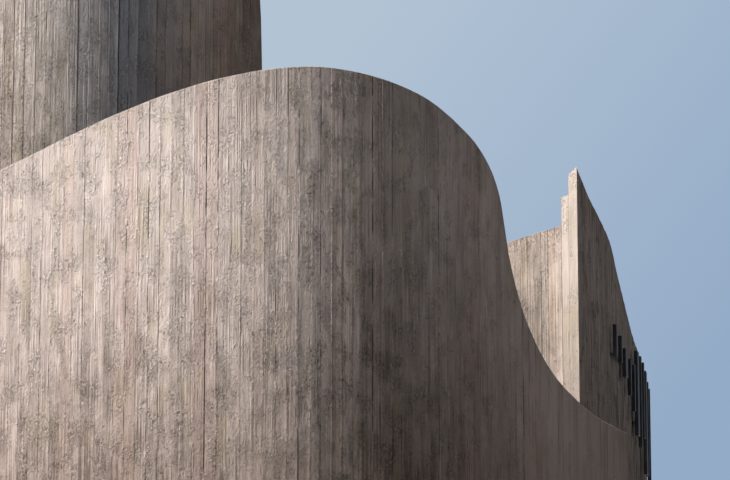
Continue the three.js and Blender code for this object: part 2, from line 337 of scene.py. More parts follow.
class Graph:
    """The node tree of one material or world, emptied and ready to be filled."""

    def __init__(self, owner: bpy.types.Material | bpy.types.World) -> None:
        """Takes over the owner's node tree.

        Args:
            owner: the material or world.
        """
        owner.use_nodes = True
        self.tree = owner.node_tree
        self.tree.nodes.clear()

    def add(
        self, kind: str, inputs: dict | tuple = (), output: int | str = 0, **settings: object
    ) -> Socket | None:
        """Adds a node with its settings, fills its inputs with values or links and gives an output.

        Args:
            kind: node type without its ShaderNode prefix.
            inputs: values or sockets, in order or by input name or number.
            output: which output to give back.
            **settings: properties of the node.

        Returns:
            The chosen output socket, or None for a node that has none.
        """
        node = self.tree.nodes.new("ShaderNode" + kind)
        for name, value in settings.items():
            setattr(node, name, value)
        for key, value in inputs.items() if isinstance(inputs, dict) else enumerate(inputs):
            if isinstance(value, bpy.types.NodeSocket):
                self.tree.links.new(value, node.inputs[key])
            else:
                node.inputs[key].default_value = value
        return node.outputs[output] if len(node.outputs) else None

    def math(self, operation: str, *values: Value, clamp: bool = False) -> Socket:
        """One calculation on one to three values."""
        return self.add("Math", values, operation=operation, use_clamp=clamp)

    def times(self, first: Value, second: Value, plus: Value = 0.0, clamp: bool = False) -> Socket:
        """Product of two values plus a third."""
        return self.math("MULTIPLY_ADD", first, second, plus, clamp=clamp)

    def between(self, value: Value, low: float, high: float, least: float = 0.0, most: float = 1.0) -> Socket:
        """A value stretched between two limits, clamped."""
        limits = {"Value": value, "From Min": low, "From Max": high, "To Min": least, "To Max": most}
        return self.add("MapRange", limits)

    def over(self, base: Value | str, share: Value, colour: Value | str, blend: str = "MIX") -> Socket:
        """A colour laid over the base by its share; both are sockets or hex colours."""
        base, colour = (linear(c) if isinstance(c, str) else c for c in (base, colour))
        return self.add("Mix", {0: share, 6: base, 7: colour}, 2, data_type="RGBA", blend_type=blend)

    def part(self, vector: Socket, axis: str) -> Socket:
        """One of the parts X, Y and Z of a vector."""
        return self.add("SeparateXYZ", (vector,), axis)

    def noise(
        self, where: Socket, scale: float, detail: float = 2.0, rough: float = 0.5, curl: float = 0.0
    ) -> Socket:
        """A noise with about so many features a metre."""
        values = {"Vector": where, "Scale": scale, "Detail": detail, "Roughness": rough, "Distortion": curl}
        return self.add("TexNoise", values)

    def stretched(self, where: Socket, features: Triple) -> Socket:
        """A place scaled to so many features a metre along each axis."""
        return self.add("VectorMath", (where, features), operation="MULTIPLY")

    def chance(self, number: Socket) -> Socket:
        """A random value from 0 to 1 for each whole number."""
        return self.add("TexWhiteNoise", {"W": number}, "Value", noise_dimensions="1D")

    def whole(self, value: Value, size: float) -> Socket:
        """How many whole steps of one size a value holds."""
        return self.math("FLOOR", self.math("DIVIDE", value, size))

    def surface(
        self,
        base: Value | str,
        rough: Value,
        height: Value | None = None,
        relief: float = 0.0,
        strength: float = 1.0,
        invert: bool = False,
        more: dict | None = None,
    ) -> None:
        """Puts out a principled surface.

        Args:
            base: its colour, a socket or hex.
            rough: its roughness.
            height: bump height from 0 to 1, or none.
            relief: metres that a height of 1 stands out.
            strength: strength of the bump.
            invert: True if the height goes inwards.
            more: further inputs of the shader.
        """
        colour = linear(base) if isinstance(base, str) else base
        values = {"Base Color": colour, "Roughness": rough, **(more or {})}
        if height is not None:
            bump = {"Strength": strength, "Distance": relief, "Height": height}
            values["Normal"] = self.add("Bump", bump, invert=invert)
        self.add("OutputMaterial", (self.add("BsdfPrincipled", values),))


@dataclass(frozen=True)
class Finish:
    """A finish is a material made once, on first use, and then shared."""

    name: str

    def material(self) -> bpy.types.Material:
        """Looks the finish's material up by name, or makes it.

        Returns:
            The material.
        """
        made = bpy.data.materials.get(self.name)
        if made is None:
            made = bpy.data.materials.new(self.name)
            self.paint(Graph(made))
        return made

    def paint(self, graph: Graph) -> None:
        """Fills the material's empty node tree; each finish gives its own."""
        raise NotImplementedError


@dataclass(frozen=True)
class BoardMarkedConcrete(Finish):
    """In-situ concrete struck from sawn softwood boards and then blasted: ribs, grain rings, crust and pits.

    It gives the eye warm pinkish-beige upright stripes, one a board, with thin broken dark joints, curling
    raised grain, crusty pale lumps in patches, darker skins where the top layer came away, and a paler upper
    part that grows darker towards the bottom.
    """

    name: str = "board_marked_concrete_struck_from_sawn_boards"
    pale: str = "DCCDC5"
    dark: str = "8B7D74"
    mossy: str = "B4A68A"
    rosy: str = "BC9E93"
    # Blue-grey of the painted sky light on half-shaded boards
    bloom: str = "808B9A"
    soot: str = "645A54"
    growth: str = "5A4A3E"
    joint: str = "33271F"
    crumb: str = "E8DCD3"
    # Band along the top edge: this pale default is partly crumbly weathering and partly a painted highlight
    # of the arris; the court walls take dark growth instead
    rim: str = "CFC4B9"
    joint_bias: float = 0.0
    top_growth: float = 0.25
    lift: float = 0.63
    washed: Span = (6.5, 10.8)
    unwashed: str = "B8B0AA"
    crustiness: float = 0.0
    relief: float = 2.05
    roughness: float = 0.9

    def paint(self, graph: Graph) -> None:
        """Board tones from the mesh, grain and stains from noises in metres, relief as bump in millimetres.

        The mesh's board attribute carries tone, tint, metres below the top and contrast; the contrast scales
        crust, joints, the spread of tones and the bump.

        Args:
            graph: the empty tree.
        """
        add, math_node, times = graph.add, graph.math, graph.times
        between, over = graph.between, graph.over
        surface = add("UVMap", uv_map="Surface")
        u = graph.part(surface, "X")
        v = graph.part(surface, "Y")
        across = times(u, BOARD)
        board = add("Attribute", output="Color", attribute_name="board")
        tone, tint, below = (add("SeparateColor", (board,), part) for part in ("Red", "Green", "Blue"))
        contrast = add("Attribute", output="Alpha", attribute_name="board")
        own = add("CombineXYZ", (across, v, times(tone, 40.0)))
        whole = add("CombineXYZ", (across, v, 0.0))

        def noise(
            where: Socket, wide: float, tall: float, detail: float, rough: float = 0.6, curl: float = 0.0
        ) -> Socket:
            """A noise about zero, moved to a place of its own.

            Args:
                where: the place in metres.
                wide: features a metre across the wall.
                tall: features a metre up the wall.
                detail: steps of finer detail.
                rough: how strong the finer steps are.
                curl: how far it is distorted.

            Returns:
                The noise, from about -0.5 to 0.5.
            """
            apart = (3.7 * wide + 1.3 * tall, 5.1 * tall, 0.0)
            at = add("VectorMath", (where, (wide, tall, 1.0), apart), operation="MULTIPLY_ADD")
            return math_node("SUBTRACT", graph.noise(at, 1.0, detail, rough, curl), 0.5)

        # Joints: distance to the nearest board edge, wavering; each is by turns a groove, closed, or a fin
        moved = math_node("ADD", times(noise(whole, 1.0, 2.2, 4.0), 0.08, u), 0.5)
        number = math_node("FLOOR", moved)
        from_edge = math_node("SUBTRACT", math_node("SUBTRACT", moved, number), 0.5)
        from_edge = math_node("ABSOLUTE", from_edge)
        chance = graph.chance(number)
        turn = graph.noise(add("CombineXYZ", (number, v, 0.0)), 1.3, 5.0, 0.65)
        line = between(math_node("DIVIDE", from_edge, times(chance, 0.045, 0.03)), 1.0, 0.4)
        strength = times(between(chance, 0.3, 1.0), between(turn, 0.44, 0.55))
        strength = math_node("ADD", strength, self.joint_bias, clamp=True)
        joint = times(times(line, strength), contrast)
        fin = times(between(from_edge, 0.13, 0.03), between(turn, 0.47, 0.4))

        # Each board is smooth or ribbed by turns; crusts of grout cross the boards and follow the fins
        ribbed = between(noise(own, 1.2, 0.9, 3.0), -0.08, 0.08, 0.2, 1.0)
        crusty = math_node("ADD", noise(whole, 4.8, 2.5, 5.0, 0.7), self.crustiness)
        crusty = times(times(fin, 0.8, between(crusty, -0.01, 0.09, 0.1, 1.0)), contrast)
        patch = noise(own, 1.4, 1.4, 5.0, 0.6)
        stain = noise(whole, 2.4, 1.9, 5.0, 0.62)
        skin = between(noise(own, 1.0, 1.0, 6.0, 0.68), 0.04, 0.08)
        cloud = noise(whole, 0.8, 0.55, 4.0)
        runs = noise(whole, 6.0, 0.28, 4.0, 0.62)

        # Ribs, rings, crust and fins are drawn 20 to 30 mm wide, about twice the real ones, so that they show
        ribs = times(noise(own, 42.0, 0.8, 1.5), ribbed)
        swell = noise(own, 6.0, 1.4, 3.0, 0.6)
        rings = math_node("SINE", times(noise(own, 8.0, 1.0, 2.0, 0.5, 0.4), 40.0))
        lumps = noise(whole, 34.0, 26.0, 4.0, 0.7, 1.0)
        crust = times(lumps, crusty)
        grit = noise(own, 75.0, 50.0, 2.0)
        flecks = times(between(lumps, 0.04, 0.12), crusty)
        chips = times(between(lumps, -0.05, -0.13), crusty)
        holes = add("TexVoronoi", {"Vector": whole, "Scale": 9.0, "Randomness": 1.0}, "Distance")
        pits = between(holes, 0.11, 0.05)

        # Colour: one value from board, patches, ribs and crust, stronger lower down
        value = times(tone, 0.15, -0.1)
        shares = (
            (patch, 0.3), (stain, 0.5), (cloud, 0.4), (ribs, 0.8), (crust, 1.0), (swell, 0.6), (grit, 0.4),
            (skin, -0.08),
        )
        for part, share in shares:
            value = times(part, share, value)
        wear = between(v, self.washed[1], self.washed[0], 0.9, 3.0)
        wear = times(times(wear, contrast), between(v, 1.0, 6.0, 0.5, 1.0))
        base = over(self.dark, times(value, wear, self.lift, clamp=True), self.pale)
        hang = between(below, 5.0, 0.0, 0.1, 0.4)
        damp = times(between(below, 0.7, 0.0), between(lumps, -0.15, 0.1))
        # The joints are dark in their own right; the chips and pits, hollows in the relief, are darkened too,
        # partly dirt and partly painted shade
        dark = times(chips, 0.3, times(pits, 0.3, times(joint, 0.95)), clamp=True)
        edge = math_node("LESS_THAN", below, between(lumps, -0.15, 0.15, 0.01, 0.03))
        coats = (
            (between(noise(own, 1.1, 0.9, 3.0), 0.02, 0.18, 0.0, 0.4), self.mossy),
            (between(tint, 0.4, 0.0, 0.0, 0.3), self.rosy),
            # Tints above one carry the painted sky light: a blue-grey cast on half-shaded boards
            (between(tint, 1.0, 2.0, 0.0, 0.85), self.bloom),
            (times(flecks, 0.7), self.crumb),
            (times(fin, 0.35), self.pale),
        )
        weather = (
            (times(between(runs, 0.0, 0.22), hang), self.soot),
            (times(damp, self.top_growth), self.growth),
            (dark, self.joint),
            # Top-edge band: pale on the sweep walls, partly weathering and partly a painted highlight of the
            # arris; dark growth on the court walls
            (times(edge, 0.4), self.rim),
        )
        for share, colour in coats:
            base = over(base, share, colour)
        # Darker towards the bottom: the colour is multiplied by a tint that turns to white over the fade
        # heights
        height_fade = over(self.unwashed, between(v, *self.washed), "FFFFFF")
        base = over(base, 1.0, height_fade, "MULTIPLY")
        for share, colour in weather:
            base = over(base, share, colour)

        # Relief: millimetres that each part stands out, less than zero where it goes in
        height = times(ribs, 12.0)
        reliefs = (
            (swell, 14.0), (times(rings, crusty), 0.8), (crust, 28.0), (flecks, 6.0), (chips, -4.0),
            (grit, 4.0), (skin, -1.5), (pits, -3.0), (joint, -5.0), (fin, 6.0),
        )
        for part, millimetres in reliefs:
            height = times(part, millimetres, height)
        more = {"Diffuse Roughness": 1.0, "Specular IOR Level": 0.2}
        graph.surface(base, self.roughness, times(height, contrast), 0.001 * self.relief, more=more)


@dataclass(frozen=True)
class TrowelledConcrete(Finish):
    """Concrete struck off by hand on top of a wall: rough, rain-washed grey with dark growth in its pits."""

    name: str = "trowelled_concrete_top_rain_washed"
    pale: str = "9C9186"
    dark: str = "5E564E"

    def paint(self, graph: Graph) -> None:
        """Grey cloud and speckle in object coordinates with a rough bump.

        Args:
            graph: the empty tree.
        """
        place = graph.add("TexCoord", output="Object")
        value = graph.times(graph.noise(place, 6.0, 6.0, 0.7), 0.8)
        value = graph.times(graph.noise(place, 70.0, 4.0, 0.7), 0.5, value)
        base = graph.over(self.dark, graph.between(value, 0.4, 0.9), self.pale)
        graph.surface(base, 0.95, value, 0.004, more={"Specular IOR Level": 0.2})


@dataclass(frozen=True)
class CoatedSteel(Finish):
    """Powder-coated steel plate: near black with a blue cast, a fine orange-peel skin and a film of dust."""

    name: str = "powder_coated_steel_plate"
    coat: str = "1C222D"
    worn: str = "465061"
    dust: str = "7B7872"

    def paint(self, graph: Graph) -> None:
        """Cloudy coat, 3 mm orange peel drawn at 8 mm so that it shows, and dust in soft runs.

        Args:
            graph: the empty tree.
        """
        place = graph.add("TexCoord", output="Object")
        cloud = graph.noise(place, 5.0, 5.0, 0.6)
        peel = graph.noise(place, 120.0)
        runs = graph.noise(graph.stretched(place, (22.0, 22.0, 1.6)), 1.0, 4.0)
        base = graph.over(self.coat, graph.between(cloud, 0.4, 0.7, 0.0, 0.6), self.worn)
        base = graph.over(base, graph.between(runs, 0.5, 0.8, 0.0, 0.35), self.dust)
        rough = graph.between(runs, 0.3, 0.7, 0.3, 0.5)
        graph.surface(base, rough, peel, 0.0008, 0.4, more={"Metallic": 0.3})


@dataclass(frozen=True)
class FloatGlass(Finish):
    """Clear float glass: faintly green-grey, mirror smooth, softened in places by a breath of dust."""

    name: str = "clear_float_glass"
    colour: str = "D5E2DF"

    def paint(self, graph: Graph) -> None:
        """Transmitting surface whose roughness follows a faint dust noise.

        Args:
            graph: the empty tree.
        """
        dust = graph.noise(graph.add("TexCoord", output="Object"), 2.5, 5.0)
        rough = graph.between(dust, 0.35, 0.75, 0.01, 0.09)
        graph.surface(self.colour, rough, more={"IOR": 1.52, "Transmission Weight": 0.92})


@dataclass(frozen=True)
class OiledOak(Finish):
    """Planed and oiled oak boards: honey-brown, long dark pores, a tone for each board, soft sheen."""

    name: str = "oiled_oak_planed_boards"
    board: float = 0.118
    light: str = "8A6340"
    deep: str = "4C331F"
    pore: str = "2E1F14"

    def paint(self, graph: Graph) -> None:
        """Grain bands 10 to 20 mm wide and pores 1 mm wide, drawn 3 mm wide so that they show.

        Args:
            graph: the empty tree.
        """
        surface = graph.add("UVMap", uv_map="Surface")
        u = graph.part(surface, "X")
        v = graph.part(surface, "Y")
        chance = graph.chance(graph.whole(u, self.board))
        own = graph.add("CombineXYZ", (u, v, graph.times(chance, 30.0)))
        bands = graph.noise(graph.stretched(own, (55.0, 1.6, 1.0)), 1.0, 4.0, curl=0.6)
        pores = graph.noise(graph.stretched(own, (320.0, 11.0, 1.0)), 1.0)
        value = graph.times(bands, 1.1, graph.times(chance, 0.45))
        base = graph.over(self.deep, graph.between(value, 0.45, 1.1), self.light)
        open_pore = graph.between(pores, 0.6, 0.7, 0.0, 0.7)
        base = graph.over(base, open_pore, self.pore)
        rough = graph.between(bands, 0.3, 0.7, 0.42, 0.6)
        graph.surface(base, rough, graph.times(open_pore, -0.5, bands), 0.0006, 0.6)


@dataclass(frozen=True)
class GroundConcrete(Finish):
    """Concrete floor ground flat and sealed: cut aggregate in grey paste, saw cuts in bays, dull gloss."""

    name: str = "ground_and_sealed_concrete_floor"
    paste: str = "8F8A83"
    pebble: str = "B4AEA4"
    dark: str = "55514B"
    groove: str = "2B2926"
    bay: float = 1.5

    def paint(self, graph: Graph) -> None:
        """Aggregate 10 to 20 mm across from cells, saw cuts 5 mm wide from the object's own metres.

        Args:
            graph: the empty tree.
        """
        place = graph.add("TexCoord", output="Object")
        where = {"Vector": place, "Scale": 62.0}
        cells, kind = (graph.add("TexVoronoi", where, output) for output in ("Distance", "Color"))
        stone = graph.between(cells, 0.42, 0.3)
        colour = graph.over(self.dark, graph.add("SeparateColor", (kind,), "Red"), self.pebble)
        base = graph.over(self.paste, stone, colour)
        near = [graph.math("PINGPONG", graph.part(place, axis), self.bay) for axis in ("X", "Y")]
        cut = graph.math("MAXIMUM", *[graph.math("LESS_THAN", edge, 0.0025) for edge in near])
        base = graph.over(base, cut, self.groove)
        graph.surface(base, graph.times(stone, -0.12, 0.42), cut, 0.003, 0.5, invert=True)


@dataclass(frozen=True)
class MineralFelt(Finish):
    """Bitumen roofing felt with mineral chippings over a board-marked slab, in lapped rolls with tar seams.

    Below the roof's level the slab's own concrete shows, with the print of its soffit boards.
    """

    name: str = "mineral_surfaced_bitumen_felt_on_slab"
    chip: str = "6F6E6A"
    shade: str = "4B4A48"
    tar: str = "2C2B2A"
    slab: str = "A79A8F"
    slab_dark: str = "7F756C"
    board_print: str = "4A433D"
    roll: float = 1.0

    def paint(self, graph: Graph) -> None:
        """Rolls 1 m wide with 25 mm tar seams, chippings of 2 mm drawn at 8 mm, and drying rings.

        Args:
            graph: the empty tree.
        """
        place = graph.add("TexCoord", output="Object")
        x = graph.part(place, "X")
        chance = graph.chance(graph.whole(x, self.roll))
        near = graph.math("PINGPONG", graph.times(graph.noise(place, 3.0, 3.0), 0.02, x), self.roll / 2)
        seam = graph.between(near, 0.022, 0.012)
        chips = graph.noise(place, 120.0)
        cloud = graph.noise(place, 0.7, 5.0, 0.65)
        value = graph.times(chance, 0.25, graph.times(cloud, 0.8, graph.times(chips, 0.7)))
        felt = graph.over(self.shade, graph.between(value, 0.55, 1.15), self.chip)
        felt = graph.over(felt, seam, self.tar)
        board_edge = graph.math("LESS_THAN", graph.math("PINGPONG", x, BOARD / 2), 0.003)
        soffit = graph.over(self.slab_dark, graph.between(cloud, 0.3, 0.7), self.slab)
        soffit = graph.over(soffit, board_edge, self.board_print)
        on_top = graph.math("GREATER_THAN", graph.part(place, "Z"), ROOF_TOP - 0.005)
        height = graph.times(seam, 1.5, chips)
        more = {"Specular IOR Level": 0.3}
        graph.surface(graph.over(soffit, on_top, felt), 0.9, height, 0.002, 0.8, more=more)


@dataclass(frozen=True)
class PaleFloor(Finish):
    """Plain pale studio floor."""

    name: str = "plain_pale_floor"
    colour: str = "63615F"

    def paint(self, graph: Graph) -> None:
        """One colour, matt."""
        graph.surface(self.colour, 0.9)


SWEEP_CONCRETE = BoardMarkedConcrete()
# A darker copy of the sweep finish for the north half: its darker colours are painted shade for the street
# flank that lies in shade
SHADE_DARKENED_CONCRETE = BoardMarkedConcrete(
    name="board_marked_concrete_of_the_shaded_half",
    pale="ADA29B",
    dark="6A625C",
    unwashed="B4AFAC",
    crustiness=-0.03,
)
END_CONCRETE = BoardMarkedConcrete(
    name="board_marked_concrete_of_the_wall_ends",
    pale="CFC1B6",
    dark="A39589",
    joint_bias=0.5,
    crustiness=-0.02,
)
COURT_CONCRETE = BoardMarkedConcrete(
    name="board_marked_concrete_with_growth_in_its_joints",
    pale="E4D8CF",
    dark="897F78",
    relief=2.7,
    lift=0.72,
    joint_bias=0.5,
    top_growth=0.9,
    washed=(10.4, 15.5),
    unwashed="DAD4CF",
    rim="6A5B4F",
    crustiness=0.0,
)
# What a corner carries where no board prints it: tone, tint, metres below the top, and contrast
PLAIN_TONE = np.array([0.5, 0.5, 3.0, 1.0])
END_TONE = np.array([0.8, 0.6, 0.9, 0.6])


@dataclass
class Patch:
    """Faces with the same number of corners, what each corner carries, and their finish."""

    faces: np.ndarray
    uvs: np.ndarray
    tones: np.ndarray
    finish: int

    def flipped(self) -> "Patch":
        """The same faces seen from the other side."""
        return Patch(self.faces[:, ::-1], self.uvs[:, ::-1], self.tones[:, ::-1], self.finish)


def linked(name: str, data: bpy.types.ID) -> Object:
    """Puts a new object in the scene.

    Args:
        name: its name.
        data: its mesh, lamp or camera.

    Returns:
        The object.
    """
    made = bpy.data.objects.new(name, data)
    bpy.context.scene.collection.objects.link(made)
    return made


class Shell:
    """A mesh in the making, of one or more closed solids."""

    def __init__(self) -> None:
        """Starts with nothing in it."""
        self.points = np.empty((0, 3))
        self.solids: list[list[Patch]] = []

    def solid(self, points: np.ndarray) -> np.ndarray:
        """Starts a new solid.

        Args:
            points: its points on a grid of any shape, with x, y and z in the last axis.

        Returns:
            The points' numbers, in the same grid.
        """
        first = len(self.points)
        self.points = np.concatenate([self.points, points.reshape(-1, 3)])
        self.solids.append([])
        return np.arange(first, len(self.points)).reshape(points.shape[:-1])

    def add(
        self, faces: np.ndarray, uvs: np.ndarray, finish: int = 0, tones: np.ndarray = PLAIN_TONE
    ) -> None:
        """Adds faces to the solid last started.

        Args:
            faces: point numbers, one row a face.
            uvs: a pair for each corner.
            finish: material slot of all of them.
            tones: four numbers for each corner, or one set for all.
        """
        tones = np.broadcast_to(tones, (*faces.shape, 4))
        self.solids[-1].append(Patch(faces, uvs.reshape(*faces.shape, 2), tones, finish))

    def loft(
        self, rings: np.ndarray, finish: int = 0, closed: bool = False, u: np.ndarray | None = None
    ) -> None:
        """Carries a closed profile along a path: quads between neighbouring rings and a cap at each end.

        Args:
            rings: path steps by profile points by three.
            finish: material slot of its faces.
            closed: True if the path comes back to its start, so that it has no caps.
            u: first texture coordinate of each profile point and of the return to the first; the way round
                the profile if not given.
        """
        numbers = self.solid(rings)
        if closed:
            numbers = np.concatenate([numbers, numbers[:1]])
            rings = np.concatenate([rings, rings[:1]])
        loop = np.concatenate([numbers, numbers[:, :1]], axis=1)
        if u is None:
            u = way_round(rings[len(rings) // 2])
        steps = np.linalg.norm(np.diff(rings.mean(axis=1), axis=0), axis=1)
        v = np.concatenate([[0.0], np.cumsum(steps)])
        uv = np.stack(np.broadcast_arrays(u[None, :], v[:, None]), axis=-1)
        corners = (slice(None, -1), slice(None, -1)), (slice(1, None), slice(None, -1))
        corners += (slice(1, None), slice(1, None)), (slice(None, -1), slice(1, None))
        faces = np.stack([loop[corner] for corner in corners], axis=-1).reshape(-1, 4)
        self.add(faces, np.stack([uv[corner] for corner in corners], axis=2), finish)
        if not closed:
            self.add(numbers[:1, ::-1], uv[:1, -2::-1], finish)
            self.add(numbers[-1:], uv[-1:, :-1], finish)

    def turned_out(self, solid: list[Patch]) -> bool:
        """Tells whether a solid's faces point outwards: the sum of its fans' triple products is above zero.

        Args:
            solid: the solid's patches.

        Returns:
            True if they do.
        """
        total = 0.0
        centre = self.points[solid[0].faces[0, 0]]
        for patch in solid:
            corners = self.points[patch.faces] - centre
            first = corners[:, :1]
            cross = np.cross(corners[:, 1:-1] - first, corners[:, 2:] - first)
            total += float(np.einsum("ijk,ik->", cross, first[:, 0]))
        return total > 0.0

    def piece(self, name: str, finishes: tuple[Finish, ...]) -> Object:
        """Makes the mesh and its object.

        Args:
            name: name of the piece.
            finishes: its material slots in order.

        Returns:
            The new object, at the origin.
        """
        patches = [p if self.turned_out(s) else p.flipped() for s in self.solids for p in s]
        mesh = bpy.data.meshes.new(name)
        mesh.from_pydata(self.points.tolist(), [], [row for p in patches for row in p.faces.tolist()])
        layer = mesh.uv_layers.new(name="Surface")
        uvs = np.concatenate([p.uvs.reshape(-1) for p in patches])
        layer.uv.foreach_set("vector", uvs.astype(np.float32))
        tones = np.concatenate([p.tones.reshape(-1) for p in patches])
        colour = mesh.attributes.new("board", "FLOAT_COLOR", "CORNER")
        colour.data.foreach_set("color", tones.astype(np.float32))
        for finish in finishes:
            mesh.materials.append(finish.material())
        slots = np.concatenate([np.full(len(p.faces), p.finish) for p in patches])
        mesh.polygons.foreach_set("material_index", slots.astype(np.int32))
        mesh.polygons.foreach_set("use_smooth", np.zeros(len(mesh.polygons), dtype=bool))
        mesh.update()
        return linked(name, mesh)


def finished(piece: Object, slot: Slot, *nodes: str) -> Object:
    """Puts a finished piece on the body, in the place of the nodes it stands for.

    Args:
        piece: the finished object.
        slot: the record's material slot; not used.
        *nodes: names of the replaced nodes.

    Returns:
        The same piece.
    """
    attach(piece, BODY)
    if nodes:
        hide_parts(*nodes)
    return piece


def stand_in(shell: Shell, node: str, ending: str, slot: Slot, *finishes: Finish) -> Object:
    """Makes a shell the finished piece that stands for a node and is named after it with an ending."""
    return finished(shell.piece(f"{node}_{ending}", finishes), slot, node)


def dressed(node: str, finish: Finish) -> Object:
    """Gives a carried-over node its finish.

    Args:
        node: name of the node.
        finish: the finish for all of it.

    Returns:
        The node's object.
    """
    kept = bpy.data.objects[node]
    for slot in kept.material_slots:
        slot.material = finish.material()
    return kept


@dataclass(frozen=True)
class Place:
    """An upright place on a plan line: local x runs along the line, y to its left and z up."""

    line: PlanLine
    station: float
    side: Side

    def out(self, x: np.ndarray | float, y: np.ndarray | float, z: np.ndarray | float) -> np.ndarray:
        """Turns local points by the line's heading and moves them to the station.

        Args:
            x: local distances along the line.
            y: local offsets to its left.
            z: heights.

        Returns:
            Points, with x, y and z in the last axis.
        """
        x, y, z = np.broadcast_arrays(np.asarray(x, float), np.asarray(y, float), np.asarray(z, float))
        heading = float(self.line.heading(self.station))
        origin = self.line.at(self.station)
        east = origin[0] + x * math.cos(heading) - y * math.sin(heading)
        north = origin[1] + x * math.sin(heading) + y * math.cos(heading)
        return np.stack([east * self.side.value, north * self.side.value, z], axis=-1)

    def bar(self, x: Span, y: Span, z: Span, chamfer: float) -> np.ndarray:
        """A chamfered bar: an eight-sided profile carried upwards, drawn in by the chamfer at both ends.

        Args:
            x: both ends along the line.
            y: both sides across it.
            z: foot and head.
            chamfer: width of the chamfer.

        Returns:
            Rings for a loft.
        """
        inset = np.array([chamfer, 0.0, 0.0, chamfer])[:, None]
        cut = np.array([0.4, 1.0, 1.0, 0.4])[:, None] * chamfer
        x0, x1, y0, y1 = x[0] + inset, x[1] - inset, y[0] + inset, y[1] - inset
        px = np.concatenate([x0 + cut, x1 - cut, x1, x1, x1 - cut, x0 + cut, x0, x0], axis=1)
        py = np.concatenate([y0, y0, y0 + cut, y1 - cut, y1, y1, y1 - cut, y0 + cut], axis=1)
        pz = np.array([z[0], z[0] + chamfer, z[1] - chamfer, z[1]])[:, None]
        return self.out(px, py, pz)

    def turned(self, centre: Triple, axis: Axis, steps: Pairs, sides: int = 24) -> np.ndarray:
        """A turned form: circles of given radii at distances along one local axis.

        Args:
            centre: local start.
            axis: the axis it is turned about.
            steps: pairs of distance and radius.
            sides: sides of the circles.

        Returns:
            Rings for a loft.
        """
        distance, radius = np.array(steps).T[:, :, None]
        around = np.linspace(0.0, 2 * math.pi, sides, endpoint=False)
        parts = [distance + 0 * around, radius * np.cos(around), radius * np.sin(around)]
        local = [parts[(i - axis.value) % 3] + centre[i] for i in range(3)]
        return self.out(*local)

    def framed(self, first: Span, second: Span, profile: Pairs, flat: bool = False) -> np.ndarray:
        """A profile of inset and depth carried round a rectangle, mitred at its four corners.

        Args:
            first: both ends of the rectangle along the line.
            second: both ends of its other side: heights, or offsets across the line if it lies flat.
            profile: pairs of inset from the rectangle's edge, and depth across it.
            flat: True if the rectangle lies level.

        Returns:
            Rings for a closed loft.
        """
        inset, depth = np.array(profile).T
        sign = np.array([[-1, -1], [1, -1], [1, 1], [-1, 1]])
        one = (first[0] + first[1]) / 2 + sign[:, :1] * ((first[1] - first[0]) / 2 - inset)
        two = (second[0] + second[1]) / 2 + sign[:, 1:] * ((second[1] - second[0]) / 2 - inset)
        return self.out(one, two, depth) if flat else self.out(one, depth, two)


@dataclass(frozen=True)
class Opening:
    """A rectangular opening through a wall, square to the plan line at its station."""

    station: float
    width: float
    low: float
    height: float

    @property
    def span(self) -> Span:
        """Both ends along the line, from the station."""
        return -self.width / 2, self.width / 2

    @property
    def levels(self) -> Span:
        """Heights of sill and head."""
        return self.low, self.low + self.height


Openings = tuple[Opening, ...]


@dataclass(frozen=True)
class BoardLook:
    """How the boards change along a wall, each by a station, a reach and mostly an amount.

    Painted skylight turns the tint of the boards round its station towards blue-grey, painted sky light on
    half-shaded boards. The tone shifts make boards paler or darker, partly as painted light and shade and
    partly as their own tone. The contrast of their print fades evenly from the calm station on, and is
    stronger round the raking-light station, where the raised colour contrast stands in for relief lit by
    raking light.
    """

    bloom: Span = (-10.0, 1.0)
    washes: tuple[Triple, ...] = ()
    calm: Triple = (90.0, 1.0, 0.0)
    torn: Triple = (-10.0, 1.0, 0.0)


@dataclass
class Grid:
    """Points of a casting: columns along the wall, each a ring up the face, over the top and down again.

    With them go the distance of each column, each point's depth into the wall and its distance below the
    top edge, and which points of a ring lie on the crown.
    """

    points: np.ndarray
    distance: np.ndarray
    into: np.ndarray
    below: np.ndarray
    crown: slice

    def corners(self, face: np.ndarray, u: np.ndarray) -> np.ndarray:
        """Texture coordinates of a face's corners: what is given for the first, and the height."""
        return np.stack([u, self.points[..., 2].ravel()[face]], axis=-1)

    def depths(self, face: np.ndarray) -> np.ndarray:
        """Depth into the wall of a face's corners."""
        return self.into.ravel()[face]

    def nearest(self, level: float) -> list[int]:
        """Finds the points whose heights are nearest to a level.

        Args:
            level: the level.

        Returns:
            Ring point of the face, and ring point of the room side.
        """
        heights = self.points[0, :, 2]
        sides = (slice(0, self.crown.start), slice(self.crown.stop, len(heights)))
        return [int(np.abs(heights[side] - level).argmin()) + side.start for side in sides]


